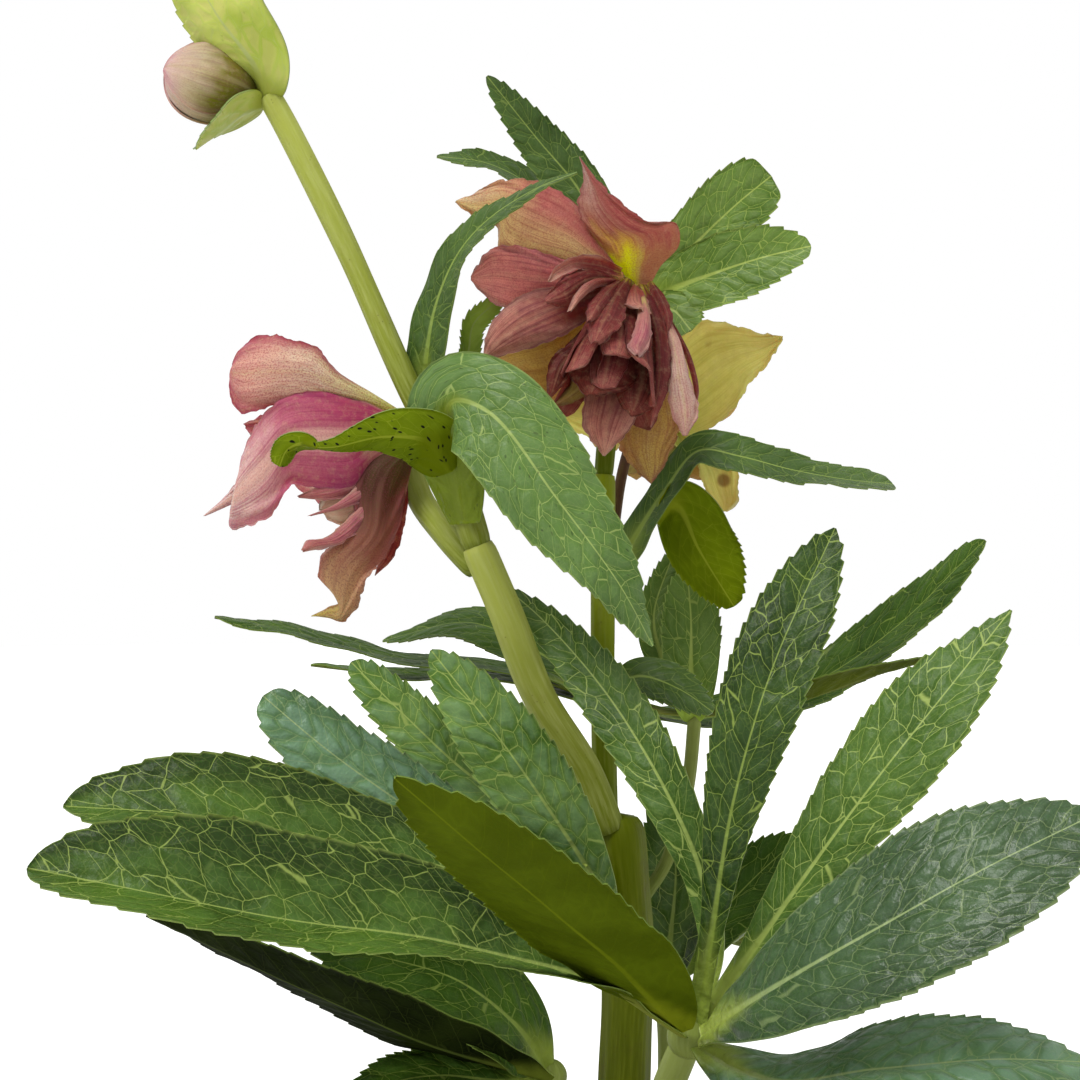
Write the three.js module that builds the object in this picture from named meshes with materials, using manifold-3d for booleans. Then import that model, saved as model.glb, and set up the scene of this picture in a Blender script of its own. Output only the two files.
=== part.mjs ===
// A double-flowered hellebore in a plain nursery pot. Millimetres, +Z up, origin at the centre of the
// pot's underside, +X to the right of the front view and +Y to the back.
import * as THREE from "three";
import { mergeVertices } from "three/addons/utils/BufferGeometryUtils.js";
import Module from "manifold-3d";

const wasm = await Module();
wasm.setup();

// Driving dimensions.
const pot = {
  height: 145, rimRadius: 85, baseRadius: 61, wall: 1.8, floor: 3, rimBand: 10, rimOut: 3,
  rimEdge: 1, drains: 5, drainRadius: 6, drainCircle: 42, sides: 32, drainSides: 12,
};
const soil = { level: 131, crowning: 3, shoulder: 0.6 };
const crown = { radius: 15, top: 139, bottom: 121, neck: 4, sides: 14 };
const seat = 0.3; // gap between a piece and what carries it
const finest = 0.03; // details smaller than this are smoothed away
const stemSides = 8;
const ballSides = { around: 8, upward: 6 };

// Thickness of each kind of blade, and the number of steps along it.
const leafMake = { thickness: 1.0, rows: 6 };
const sepalMake = { thickness: 0.9, rows: 5 };
const petalMake = { thickness: 1.4, rows: 3 };
const margin = { thickness: 0.6, halfWidth: 0.35 }; // a blade's edge and its blunt ends
const stalkWidth = 2.6;
const taper = 1.6; // how fast a blade narrows at its ends, at a point of 1

// The viewing point of the front elevation. Routes are given as [right, up, depth]: where a point is
// seen on the middle plane of the plant, and how far behind that plane it lies.
const viewer = { x: -18.75, z: 325, distance: 520 };

const green = (hex, roughness = 0.5) =>
  new THREE.MeshStandardMaterial({ color: hex, roughness, metalness: 0, side: THREE.DoubleSide });
const materials = {
  pot: green("#2b2d2c", 0.45),
  soil: green("#3a2a1e", 0.95),
  crown: green("#6b5a33", 0.8),
  stem: green("#a3b04a"),
  leaf: green("#41663f", 0.42),
  bract: green("#6f9448", 0.5),
  sepalRose: green("#a8566a", 0.55),
  sepalYellow: green("#cdb65f", 0.55),
  petalMauve: green("#8a4558", 0.55),
};

// Each stem is a round tube through the points of its route.
const stems = {
  center_stem: [
    { radius: 3.0, route: [[-2, 247.5, -1], [-3, 285, 1], [-3, 320, 2], [-3, 342.5, 3]] },
    { radius: 2.4, route: [[-3, 340, 3], [-1, 360, 3], [2, 377.5, -1], [5, 387, -7], [4, 392, -13]] },
  ],
  forked_stem: [
    { radius: 4.1, route: [[-1, 251, -6], [-7.5, 267.5, -8], [-19, 286, -11], [-27.5, 307.5, -14],
      [-35, 325, -15]] },
    { radius: 3.7, route: [[-34, 322, -15], [-38, 335, -15], [-42, 345, -15]] },
    { radius: 3.0, route: [[-41, 342.5, -15], [-51, 362, -14], [-67.5, 399, -10], [-82.5, 429, -7],
      [-87, 437, -6]] },
    { radius: 3.2, route: [[-34, 317, -13], [-42, 326, -6], [-49, 336, 2], [-51, 344.5, 0],
      [-51, 348, -2]] },
  ],
  rear_flower_stalk: [
    { radius: 1.6, route: [[-1, 147.5, 9], [-1, 190, 11], [-2, 235, 10], [-3, 265, 10], [-3, 295, 11]] },
    { radius: 1.4, route: [[-3, 292, 11], [-1, 320, 13], [2, 342.5, 15], [6, 354, 19], [9, 357, 23]] },
  ],
  side_shoot: [
    { radius: 1.7, route: [[6, 234, 4], [13, 245, 11], [18, 262.5, 14], [20, 281, 14]] },
  ],
  front_leaf_stalk: [
    { radius: 3.6, route: [[3, 137.5, -4], [6, 162.5, -13], [12, 185, -28], [18, 200, -36]] },
  ],
  low_leaf_stalk: [
    { radius: 2.6, route: [[-4, 137.5, -4], [-8, 162.5, -14], [-13, 182.5, -26], [-16, 190.5, -31]] },
  ],
  upper_leaf_stalk: [
    { radius: 2.3, route: [[1, 130, 7], [0.5, 172.5, 17], [0, 200, 21], [-1.5, 235, 22], [-2, 265, 22],
      [-2, 284.5, 20]] },
  ],
  rear_leaf_stalk: [
    { radius: 2.4, route: [[8, 137.5, 8], [12, 172.5, 20], [13, 197.5, 30], [12, 214, 34]] },
  ],
};

// The swelling where a leaf's leaflets meet.
const hubs = {
  front_leaf_stalk: { at: [18.5, 201, -36], radius: 5.2 },
  low_leaf_stalk: { at: [-16, 191, -31], radius: 3.8 },
  upper_leaf_stalk: { at: [-2, 285, 20], radius: 4.2 },
  rear_leaf_stalk: { at: [12, 214, 34], radius: 3.8 },
};

// Blades: leaflets, bracts and sepals. spine runs from base to tip; width is the widest; broadest says
// where along the spine that is; point makes the ends slimmer; face is the way the upper side looks, at the
// base and at the tip; fold lifts both halves like a valley and cup bends the margins (down if negative).
const frontLeaflets = {
  front_leaflet_1: {
    spine: [[17, 201.5, -40], [-4, 214, -60], [-41, 224, -84], [-79, 230, -97], [-116, 237, -103],
      [-147, 243, -102]],
    width: 29, broadest: 0.7, point: 1.3,
    face: [[0.1, -0.62, 0.78], [0.1, -0.62, 0.78]], fold: 0.42, cup: 0.25,
  },
  front_leaflet_2: {
    spine: [[17, 202.5, -35], [-9, 227.5, -40], [-32.5, 240, -46], [-55, 246, -52], [-79, 251.5, -58],
      [-109, 256.5, -64],
      [-138, 258.5, -66]],
    width: 27, broadest: 0.75, point: 1.9,
    face: [[0.1, -0.6, 0.8], [0.1, -0.6, 0.8]], fold: 0.25, cup: 0.2,
  },
  front_leaflet_3: {
    spine: [[17, 203, -42], [4, 216, -72], [-15, 232, -100], [-36, 250, -122], [-55, 266, -134]],
    width: 27, broadest: 0.5, point: 1, face: [[0.3, 0.85, 0.4], [0.35, 0.9, 0.25]], fold: 0.1, cup: 0.0,
  },
  front_leaflet_4: {
    spine: [[19, 203.5, -38], [24, 221, -37], [22, 240, -36], [14, 260, -33], [-1, 285, -22],
      [-17.5, 304.5, -6],
      [-29, 314.5, 3]],
    width: 13, broadest: 0.6, point: 1.9,
    face: [[-0.5, -0.8, 0.2], [-0.35, -0.7, 0.6]], fold: 0.2, cup: -0.1,
    stalk: 5,
  },
  front_leaflet_5: {
    spine: [[20, 203.5, -39], [24, 226, -50], [29.5, 260, -54], [39.5, 293, -51], [55, 328, -42]],
    width: 18, broadest: 0.72, point: 2.1,
    face: [[-0.2, -0.95, 0.2], [-0.25, -0.9, 0.25]], fold: 0.2, cup: -0.05,
    stalk: 5,
  },
  front_leaflet_6: {
    spine: [[20.5, 203, -39], [37, 226, -48], [59, 257, -55], [82.5, 287, -56], [99, 307.5, -50]],
    width: 21.5, broadest: 0.66, point: 2.2,
    face: [[-0.45, -0.85, 0.35], [-0.35, -0.8, 0.5]], fold: 0.2, cup: -0.1,
    stalk: 5,
  },
  front_leaflet_7: {
    spine: [[21, 201, -41], [39, 213, -66], [64, 227.5, -80], [92.5, 243, -86], [121, 257, -82]],
    width: 33, broadest: 0.62, point: 1.25,
    face: [[-0.3, -0.75, 0.6], [-0.2, -0.75, 0.65]], fold: 0.15, cup: -0.15,
    stalk: 5,
  },
  front_leaflet_8: {
    spine: [[20, 199, -40], [41, 190, -60], [66, 192.5, -74], [94, 195, -80], [119, 194.5, -76]],
    width: 27, broadest: 0.56, point: 1.05,
    face: [[0, -0.6, 0.8], [0.1, -0.5, 0.85]], fold: 0.15, cup: -0.15,
  },
};

const lowLeaflets = {
  low_leaflet_1: {
    spine: [[-16.5, 190.5, -35], [-39, 197.5, -56], [-69, 210, -70], [-97.5, 222.5, -76],
      [-117, 231.5, -76]],
    width: 23, broadest: 0.52, point: 1.1, face: [[0, 0.5, 0.85], [0, 0.45, 0.9]], fold: 0.1, cup: 0.1,
    lobe: {
      spine: [[-17, 190, -36], [-29, 190, -47], [-44, 191, -56], [-56, 189, -62], [-70, 182, -66]],
      width: 15, broadest: 0.55, point: 1.2,
      face: [[-0.1, -0.7, 0.7], [0, -0.6, 0.8]], fold: 0.15, cup: -0.1,
    },
  },
  low_leaflet_2: {
    spine: [[-16, 192, -33], [-26, 205, -43], [-40, 215.5, -50], [-59, 221, -52], [-77.5, 225, -50]],
    width: 29, broadest: 0.5, point: 1.1,
    face: [[-0.2, -0.7, 0.7], [0, -0.5, 0.85]], fold: 0.15, cup: -0.1,
  },
};

const sideLeaflets = {
  side_leaflet_1: {
    spine: [[-3, 234, -8], [-19, 240.5, -24], [-44, 253, -36], [-64.5, 267, -42], [-75, 275, -43],
      [-88, 286, -42]],
    width: 19, broadest: 0.64, point: 0.8,
    face: [[-0.2, -0.85, 0.5], [-0.1, -0.8, 0.6]], fold: 0.15, cup: -0.15,
  },
  side_leaflet_2: {
    spine: [[1, 229, -9], [-4.5, 239, -21], [-17, 258, -31], [-32, 279.5, -35], [-46, 297.5, -34]],
    width: 19, broadest: 0.6, point: 1.3,
    face: [[-0.5, -0.8, 0.3], [-0.35, -0.85, 0.4]], fold: 0.2, cup: -0.1,
    lobe: {
      spine: [[-6, 244.5, -24], [-15.5, 253.5, -21], [-36, 266, -24], [-52.5, 281, -26],
        [-66, 294.5, -24]],
      width: 12.5, broadest: 0.64, point: 1.1,
      face: [[-0.3, -0.8, 0.5], [-0.1, -0.85, 0.5]], fold: 0.2, cup: -0.1,
    },
  },
};

const upperLeaflets = {
  upper_leaflet_1: {
    spine: [[-3, 285, 19], [-24, 292, 20], [-54, 296, 18], [-79, 302, 14], [-100, 306, 8]],
    width: 23, broadest: 0.55, point: 0.95,
    face: [[0, -0.05, 1], [0.1, -0.12, 1]], fold: 0.12, cup: -0.08,
  },
  upper_leaflet_2: {
    spine: [[-3, 284, 21], [-24, 289, 30], [-49, 291, 38], [-76, 294, 44]],
    width: 20, broadest: 0.55, point: 0.95, face: [[0, -0.02, 1], [0, -0.05, 1]], fold: 0.12, cup: -0.05,
  },
  upper_leaflet_3: {
    spine: [[-3, 285.5, 22], [-17.5, 296, 36], [-36, 304, 50], [-58, 300, 60]],
    width: 22, broadest: 0.55, point: 0.95,
    face: [[0, -0.3, 0.95], [0, -0.35, 0.9]], fold: 0.15, cup: -0.1,
  },
  upper_leaflet_4: {
    spine: [[-1, 284.5, 23], [19, 280, 42], [46, 287.5, 46], [69, 303, 42], [92.5, 325, 34]],
    width: 23, broadest: 0.6, point: 0.95,
    face: [[0, -0.35, 0.95], [-0.35, -0.45, 0.8]], fold: 0.18, cup: -0.1,
  },
  upper_leaflet_5: {
    spine: [[-1, 285, 19], [19, 282, 25], [44, 284.5, 22], [64, 291, 14], [80, 296, 8]],
    width: 20, broadest: 0.55, point: 0.95, face: [[0, 0.1, 1], [0.1, 0.15, 1]], fold: 0.12, cup: 0.05,
  },
  upper_leaflet_6: {
    spine: [[-2, 285, 24], [-1, 287.5, 52], [2, 288, 84], [5, 286.5, 112]],
    width: 25, broadest: 0.55, point: 0.95, face: [[0, 0.05, 1], [0, 0.2, 1]], fold: 0.15, cup: -0.1,
  },
};

const rearLeaflets = {
  rear_leaflet_1: {
    spine: [[12.5, 215, 31], [14, 227.5, 24], [15, 245, 20], [12, 264, 20]],
    width: 16, broadest: 0.5, point: 0.9,
    face: [[-0.2, -0.95, 0.2], [-0.2, -0.95, 0.1]], fold: 0.45, cup: 0,
  },
  rear_leaflet_2: {
    spine: [[13, 214.5, 35], [22.5, 227.5, 42], [34, 240, 46], [46, 250.5, 44]],
    width: 19, broadest: 0.55, point: 0.9,
    face: [[-0.2, -0.7, 0.7], [-0.2, -0.7, 0.7]], fold: 0.2, cup: -0.1,
  },
  rear_leaflet_3: {
    spine: [[13, 215, 38], [19, 224, 66], [25, 227.5, 96], [31, 224, 124]],
    width: 26, broadest: 0.55, point: 0.9,
    face: [[0.1, 0.3, 0.95], [0.1, 0.5, 0.85]], fold: 0.15, cup: -0.1,
  },
};

const bracts = {
  front_bract: {
    spine: [[-38, 329, -19.5], [-41, 342.5, -22], [-43, 352.5, -27], [-40.5, 359.5, -30],
      [-31, 356.5, -36],
      [-15, 336, -41], [1, 314, -40], [9.5, 298.5, -34]],
    width: 23, broadest: 0.48, point: 1.2,
    face: [[-0.6, -0.8, 0], [0.35, -0.8, 0.5]], fold: 0.1, cup: -0.15,
    stalk: 9, rows: 10,
    lobe: {
      spine: [[-41, 342.5, -23], [-47, 350, -29], [-57.5, 351, -33], [-70, 348, -34], [-85, 346, -30]],
      width: 13, broadest: 0.28, point: 1.3,
      face: [[-0.2, 0.85, 0.45], [-0.1, 0.75, 0.6]], fold: 0.1, cup: 0.1,
      stalk: 5,
    },
  },
  arching_bract: {
    spine: [[-48, 357, -12], [-47, 372.5, -15], [-44.5, 384, -18], [-38.5, 396.5, -22],
      [-30, 406, -28], [-19.5, 413, -32],
      [-9.5, 417, -33]],
    width: 11.5, broadest: 0.3, point: 1,
    face: [[-0.6, -0.75, 0.1], [-0.4, -0.6, 0.7]], fold: 0.2, cup: -0.1,
    lobe: {
      spine: [[-48, 357, -10], [-41, 363, -12], [-36.5, 371.5, -14], [-35, 379, -15], [-29, 385, -15]],
      width: 4.4, broadest: 0.74, point: 0.8, face: [[0.4, 0.9, 0.2], [0.4, 0.9, 0.2]], fold: 0.1, cup: 0,
    },
  },
  upright_bract: {
    spine: [[2, 379.5, 2], [-2, 397.5, 8], [-9, 412.5, 10], [-20, 426, 10], [-32, 441, 6]],
    width: 12, broadest: 0.5, point: 1,
    face: [[-0.3, -0.9, 0.2], [-0.3, -0.9, 0.3]], fold: 0.2, cup: -0.1,
    lobe: {
      spine: [[1, 380, 2], [-6, 397.5, 13], [-19, 412.5, 16], [-31, 419, 15], [-44.5, 421, 12]],
      width: 10, broadest: 0.55, point: 1, face: [[-0.2, -0.7, 0.7], [0, -0.6, 0.8]], fold: 0.15, cup: 0,
    },
  },
  lobed_bract: {
    spine: [[4, 381, 4], [12, 390, 4], [21, 400, 2], [31, 409.5, -2], [39, 416, -6]],
    width: 17, broadest: 0.7, point: 0.6,
    face: [[-0.2, -0.95, 0.1], [0.1, -0.9, 0.3]], fold: 0.15, cup: 0.05,
    lobe: {
      spine: [[5, 380.5, 4], [12, 386.5, 3], [25, 392, -4], [37.5, 396, -8], [49, 398.5, -10]],
      width: 17, broadest: 0.52, point: 0.9,
      face: [[-0.1, -0.95, 0.2], [0.1, -0.9, 0.2]], fold: 0.1, cup: 0.05,
      lobe: {
        spine: [[5, 380, 4], [9, 382.5, 2], [14, 383, -1], [19, 377.5, -5]],
        width: 9, broadest: 0.7, point: 0.6,
        face: [[-0.1, -0.95, 0.2], [0, -0.95, 0.2]], fold: 0.1, cup: 0.05,
      },
    },
  },
  right_bract: {
    spine: [[-2, 314, -2], [4, 324, -6], [13, 337.5, -10], [21, 347, -13], [31, 346, -15], [44, 343, -16],
      [57.5, 340.5, -17], [69.5, 339, -13]],
    width: 10.5, broadest: 0.78, point: 0.8,
    face: [[-0.6, -0.8, 0.2], [0.1, -0.45, 0.9]], fold: 0.15, cup: 0,
    stalk: 8,
  },
  olive_bract: {
    spine: [[10.5, 334, -10], [16, 333, -7], [21, 323, -5], [30, 308.5, -6]],
    width: 18, broadest: 0.48, point: 0.7,
    face: [[0.5, 0.8, 0.2], [0.4, 0.85, 0.3]], fold: 0.1, cup: 0.05,
  },
  shoot_leaf: {
    spine: [[19.5, 279.5, 14], [19, 292.5, 12], [19, 305, 13], [18, 318, 16]],
    width: 14, broadest: 0.55, point: 0.8, face: [[-0.1, -1, 0.1], [0, -1, 0.1]], fold: 0.15, cup: -0.1,
    lobe: {
      spine: [[19, 287, 13], [13, 294, 18], [10, 306, 22], [15, 323, 24]],
      width: 8, broadest: 0.5, point: 0.8,
      face: [[-0.5, -0.85, 0.1], [-0.6, -0.8, 0.1]], fold: 0.1, cup: 0,
    },
  },
  stem_leaf: {
    spine: [[-2, 287.5, -1], [6, 291, -7], [16, 287.5, -11], [24.5, 282, -13]],
    width: 12, broadest: 0.5, point: 0.8,
    face: [[-0.1, -0.7, 0.7], [0, -0.6, 0.8]], fold: 0.15, cup: -0.1,
  },
  bud_upper_bract: {
    spine: [[-87, 435, -6], [-90, 443.5, -12], [-98, 454.5, -14], [-104, 465, -12], [-107, 473, -8]],
    width: 21, broadest: 0.62, point: 0.8,
    face: [[0.5, 0.8, -0.1], [0.5, 0.85, -0.1]], fold: 0, cup: 0.35,
    stalk: 6,
  },
  bud_lower_bract: {
    spine: [[-88, 434, -6], [-94, 431.5, -9], [-99.5, 427, -12], [-105, 423, -14]],
    width: 13, broadest: 0.55, point: 0.8,
    face: [[-0.5, 0.4, 0.7], [-0.5, -0.2, 0.8]], fold: 0.1, cup: 0.1,
    stalk: 5,
  },
};

const mainSepals = {
  main_sepal_top: {
    spine: [[7, 389, -13], [7, 397, -17], [1.5, 404, -20], [-4, 412, -22], [-9, 421, -24]],
    width: 19, broadest: 0.36, point: 0.75, face: [[0, -0.95, -0.1], [0.1, -1, 0]], fold: 0, cup: 0.2,
  },
  main_sepal_upper: {
    spine: [[1, 391, -14], [-10, 400, -17], [-24, 407.5, -19], [-38, 409, -18]],
    width: 20, broadest: 0.6, point: 0.6, face: [[0, -0.95, 0.2], [0.2, -0.95, 0.2]], fold: 0, cup: 0.15,
  },
  main_sepal_left: {
    spine: [[2, 390, -15], [-8, 390.5, -18], [-18, 391, -20], [-28, 392, -21], [-36, 391, -21]],
    width: 15, broadest: 0.6, point: 0.6, face: [[0, -0.95, -0.1], [0, -0.95, 0.1]], fold: 0, cup: 0.15,
  },
  main_sepal_lower: {
    spine: [[2, 388, -13], [-5.5, 380, -13], [-14, 372, -13], [-25, 369, -13], [-32, 368, -12]],
    width: 23, broadest: 0.6, point: 0.7, face: [[0.1, -0.95, 0.1], [0, -0.95, 0]], fold: 0, cup: 0.15,
  },
  main_sepal_bottom: {
    spine: [[5, 387, -12], [7, 375, -12], [9, 362, -12], [9, 349.5, -12], [9, 339, -12]],
    width: 18, broadest: 0.62, point: 0.75, face: [[-0.1, -0.95, -0.1], [0, -1, 0]], fold: 0, cup: 0.15,
  },
};

const rearSepals = {
  rear_sepal_right: {
    spine: [[10, 358, 22], [19, 362.5, 19], [30, 369, 18], [41, 374.5, 18]],
    width: 24, broadest: 0.6, point: 0.6, face: [[0, 1, 0.1], [0.2, 0.95, 0.1]], fold: 0, cup: 0.15,
  },
  rear_sepal_left: {
    spine: [[8, 357, 22], [0, 355.5, 19], [-9, 355.5, 19], [-19, 359, 20]],
    width: 20, broadest: 0.6, point: 0.6, face: [[0, 1, 0.1], [-0.1, 0.95, 0.1]], fold: 0, cup: 0.15,
  },
  rear_sepal_top: {
    spine: [[9, 359, 24], [9, 369, 27], [6, 377.5, 32], [2, 385, 38]],
    width: 22, broadest: 0.6, point: 0.55, face: [[0, 1, 0.1], [0, 0.9, 0.3]], fold: 0, cup: 0.15,
  },
  rear_sepal_low: {
    spine: [[10, 355.5, 22], [16, 347.5, 20], [22.5, 339.5, 21], [27, 332, 23]],
    width: 17, broadest: 0.6, point: 0.55, face: [[0, 1, -0.1], [0, 1, -0.2]], fold: 0, cup: 0.15,
  },
};

const leftSepals = {
  left_sepal_upper: {
    spine: [[-51, 352, -5], [-62, 362.5, -9], [-79, 369, -11], [-96, 367.5, -10]],
    width: 20, broadest: 0.68, point: 0.5, face: [[0.2, 0.7, -0.6], [0.2, 0.8, -0.5]], fold: 0, cup: 0.2,
  },
  left_sepal_middle: {
    spine: [[-52, 348.5, -6], [-66, 348.5, -15], [-82.5, 342.5, -18], [-101, 330, -15]],
    width: 20, broadest: 0.6, point: 0.65, face: [[0, 0.95, -0.2], [-0.1, 0.95, -0.2]], fold: 0, cup: 0.2,
  },
  left_sepal_lower: {
    spine: [[-51, 347, -5], [-56, 332.5, -9], [-63, 319, -10], [-73, 305.5, -7]],
    width: 18, broadest: 0.6, point: 0.6, face: [[-0.3, 0.9, 0.1], [-0.4, 0.9, 0]], fold: 0, cup: 0.2,
  },
  left_sepal_far: {
    spine: [[-52, 349, 0], [-62.5, 350, 14], [-75, 346, 22], [-88, 337.5, 24]],
    width: 20, broadest: 0.62, point: 0.55,
    face: [[-0.3, -0.9, -0.2], [-0.3, -0.9, -0.2]], fold: 0, cup: 0.2,
  },
};

// Flower hearts: a green receptacle with rings of narrow inner petals round the way the flower looks.
// lean is in radians, and unevenness is the share by which the petals differ in length.
const innerPetal = {
  broadest: 0.66, point: 0.7, fold: 0, cup: 0.25, stalk: 3, from: 0.04, unevenness: 0.14,
};
const hearts = {
  main_flower_heart: {
    at: [3.5, 390, -15], radius: 4.6, looks: [-0.2, -0.62, -0.78], lift: 0.2, width: 10,
    rings: [{ count: 4, lean: 0.25, length: 38 }, { count: 7, lean: 0.62, length: 41 }],
  },
  rear_flower_heart: {
    at: [9, 357.5, 22], radius: 4.2, looks: [0.25, 0.85, -0.45], lift: 0.1, width: 9,
    rings: [{ count: 3, lean: 0.3, length: 22 }, { count: 5, lean: 0.75, length: 26 }],
  },
  left_flower_heart: {
    at: [-51, 349, -3], radius: 4.2, looks: [-0.82, 0.12, -0.56], lift: 0.1, width: 8,
    rings: [{ count: 3, lean: 0.15, length: 30 }, { count: 5, lean: 0.4, length: 29 }],
  },
};

const bud = {
  at: [-101, 439, -4], radius: 10.5, length: 25, toward: [-0.9, -0.1, 0.25], rows: 6, sides: 12,
};
const sheath = {
  radius: 7.6,
  route: [[2, 137.5, 0], [2, 185, 0], [3, 220, -1], [1.5, 242.5, -3], [0, 257, -3]],
};

// A point at its place in space: nearer points are drawn in towards the viewer's axis.
function place([right, up, depth]) {
  const scale = 1 + depth / viewer.distance;
  const side = viewer.x + (right - viewer.x) * scale;
  return new THREE.Vector3(side, depth, viewer.z + (up - viewer.z) * scale);
}

function closedGeometry(points, triangles) {
  const geometry = new THREE.BufferGeometry();
  const numbers = points.flatMap((point) => point.toArray());
  geometry.setAttribute("position", new THREE.Float32BufferAttribute(numbers, 3));
  geometry.setIndex(triangles.flat());
  return geometry;
}

// A closed skin through rings of points, with a flat cap on both ends.
function loft(rings) {
  const around = rings[0].length;
  const points = rings.flat();
  const triangles = [];
  for (let row = 0; row + 1 < rings.length; row += 1) {
    for (let k = 0; k < around; k += 1) {
      const a = row * around + k;
      const b = row * around + ((k + 1) % around);
      triangles.push([a, b, b + around], [a, b + around, a + around]);
    }
  }
  const last = (rings.length - 1) * around;
  for (let k = 1; k + 1 < around; k += 1) {
    triangles.push([0, k + 1, k], [last, last + k, last + k + 1]);
  }
  return closedGeometry(points, triangles);
}

// A closed geometry as a solid, turned so that its faces point out.
function solidOf(geometry) {
  const bare = geometry.clone();
  bare.deleteAttribute("normal");
  bare.deleteAttribute("uv");
  const merged = mergeVertices(bare, 1e-4);
  const position = merged.attributes.position;
  const index = Uint32Array.from(merged.index.array);
  let volume = 0;
  const corner = [0, 1, 2].map(() => new THREE.Vector3());
  for (let k = 0; k < index.length; k += 3) {
    corner.forEach((point, n) => point.fromBufferAttribute(position, index[k + n]));
    volume += corner[0].dot(corner[1].clone().cross(corner[2]));
  }
  if (volume < 0) {
    for (let k = 0; k < index.length; k += 3) [index[k], index[k + 1]] = [index[k + 1], index[k]];
  }
  const vertProperties = Float32Array.from(position.array);
  return new wasm.Manifold(new wasm.Mesh({ numProp: 3, vertProperties, triVerts: index }));
}

function geometryOf(solid) {
  const mesh = solid.getMesh();
  const geometry = new THREE.BufferGeometry();
  geometry.setAttribute("position", new THREE.BufferAttribute(new Float32Array(mesh.vertProperties), 3));
  geometry.setIndex(new THREE.BufferAttribute(new Uint32Array(mesh.triVerts), 1));
  return geometry;
}

const joined = (solids) => solids.reduce((whole, next) => whole.add(next));

// The width of a blade along its length, as a share of its widest.
function outline(t, broadest, point) {
  if (t <= 0 || t >= 1) return 0;
  const bulge = (t / broadest) ** broadest * ((1 - t) / (1 - broadest)) ** (1 - broadest);
  return bulge ** (point * taper);
}

// Corners of a blade's section: share of the half width, and side of the middle surface.
const section = [[-1, 1], [0, 1], [1, 1], [1, -1], [0, -1], [-1, -1]];

// A leaf blade, bract or sepal. grow swells it on all sides.
function bladeAlong(points, shape, { thickness, rows }, grow = 0) {
  const curve = new THREE.CatmullRomCurve3(points, false, "centripetal");
  const faceBase = new THREE.Vector3(...shape.face[0]);
  const faceTip = new THREE.Vector3(...shape.face[1]);
  const stalk = shape.stalk ?? stalkWidth;
  const rings = [];
  for (let row = 0; row <= rows; row += 1) {
    const t = row / rows;
    const middle = curve.getPointAt(t);
    const along = curve.getTangentAt(t);
    if (row === 0) middle.addScaledVector(along, -grow);
    if (row === rows) middle.addScaledVector(along, grow);
    const face = faceBase.clone().lerp(faceTip, t);
    face.addScaledVector(along, -face.dot(along)).normalize();
    const across = new THREE.Vector3().crossVectors(along, face);
    const width = shape.width * outline(t, shape.broadest, shape.point) + stalk * (1 - t) ** 3;
    const half = width / 2 + margin.halfWidth;
    rings.push(section.map(([share, side]) => {
      const lift = half * (shape.fold + shape.cup) * Math.abs(share);
      const thick = thickness * (share ? margin.thickness : 1);
      return middle.clone()
        .addScaledVector(across, share * (half + grow))
        .addScaledVector(face, lift + side * (thick / 2 + grow));
    }));
  }
  return solidOf(loft(rings));
}

function blade(shape, make, grow = 0) {
  const parts = [];
  for (let part = shape; part; part = part.lobe) parts.push(part);
  return joined(parts.map((part) => {
    const rows = part.rows ?? make.rows;
    return bladeAlong(part.spine.map(place), part, { ...make, rows }, grow);
  }));
}

function tube({ radius, route }, grow = 0) {
  const curve = new THREE.CatmullRomCurve3(route.map(place), false, "centripetal");
  const circle = new THREE.Shape();
  circle.absarc(0, 0, radius + grow, 0, Math.PI * 2, false);
  return solidOf(new THREE.ExtrudeGeometry(circle, {
    steps: 3 * (route.length - 1), curveSegments: stemSides / 2, extrudePath: curve, bevelEnabled: false,
  }));
}

function ball(at, radius, grow = 0) {
  const sphere = new THREE.SphereGeometry(radius + grow, ballSides.around, ballSides.upward);
  sphere.translate(...place(at).toArray());
  return solidOf(sphere);
}

function stem(name, grow = 0) {
  const parts = stems[name].map((part) => tube(part, grow));
  if (hubs[name]) parts.push(ball(hubs[name].at, hubs[name].radius, grow));
  return joined(parts);
}

// A heart: the receptacle, and petals that leave it at a lean from the way the flower looks.
function heart({ at, radius, looks, rings, width, lift }, grow = 0) {
  const centre = place(at);
  const axis = new THREE.Vector3(...looks).normalize();
  const right = new THREE.Vector3().crossVectors(axis, new THREE.Vector3(0, 0, 1)).normalize();
  const up = new THREE.Vector3().crossVectors(right, axis);
  const parts = [ball(at, radius, grow)];
  rings.forEach(({ count, lean, length }, ring) => {
    for (let k = 0; k < count; k += 1) {
      const turn = ((k + 0.5) / count) * Math.PI * 2;
      const outward = right.clone().multiplyScalar(Math.cos(turn)).addScaledVector(up, Math.sin(turn));
      const way = axis.clone().multiplyScalar(Math.cos(lean)).addScaledVector(outward, Math.sin(lean));
      const reach = length * (1 + innerPetal.unevenness * Math.sin(5 * k + 2 * ring));
      const points = [innerPetal.from, 0.5, 1].map((share) => centre.clone()
        .addScaledVector(way, share * reach)
        .addScaledVector(outward, lift * reach * share * (1 - share)));
      const inward = outward.clone().negate().toArray();
      parts.push(bladeAlong(points, { ...innerPetal, width, face: [inward, inward] }, petalMake, grow));
    }
  });
  return joined(parts);
}

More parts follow.
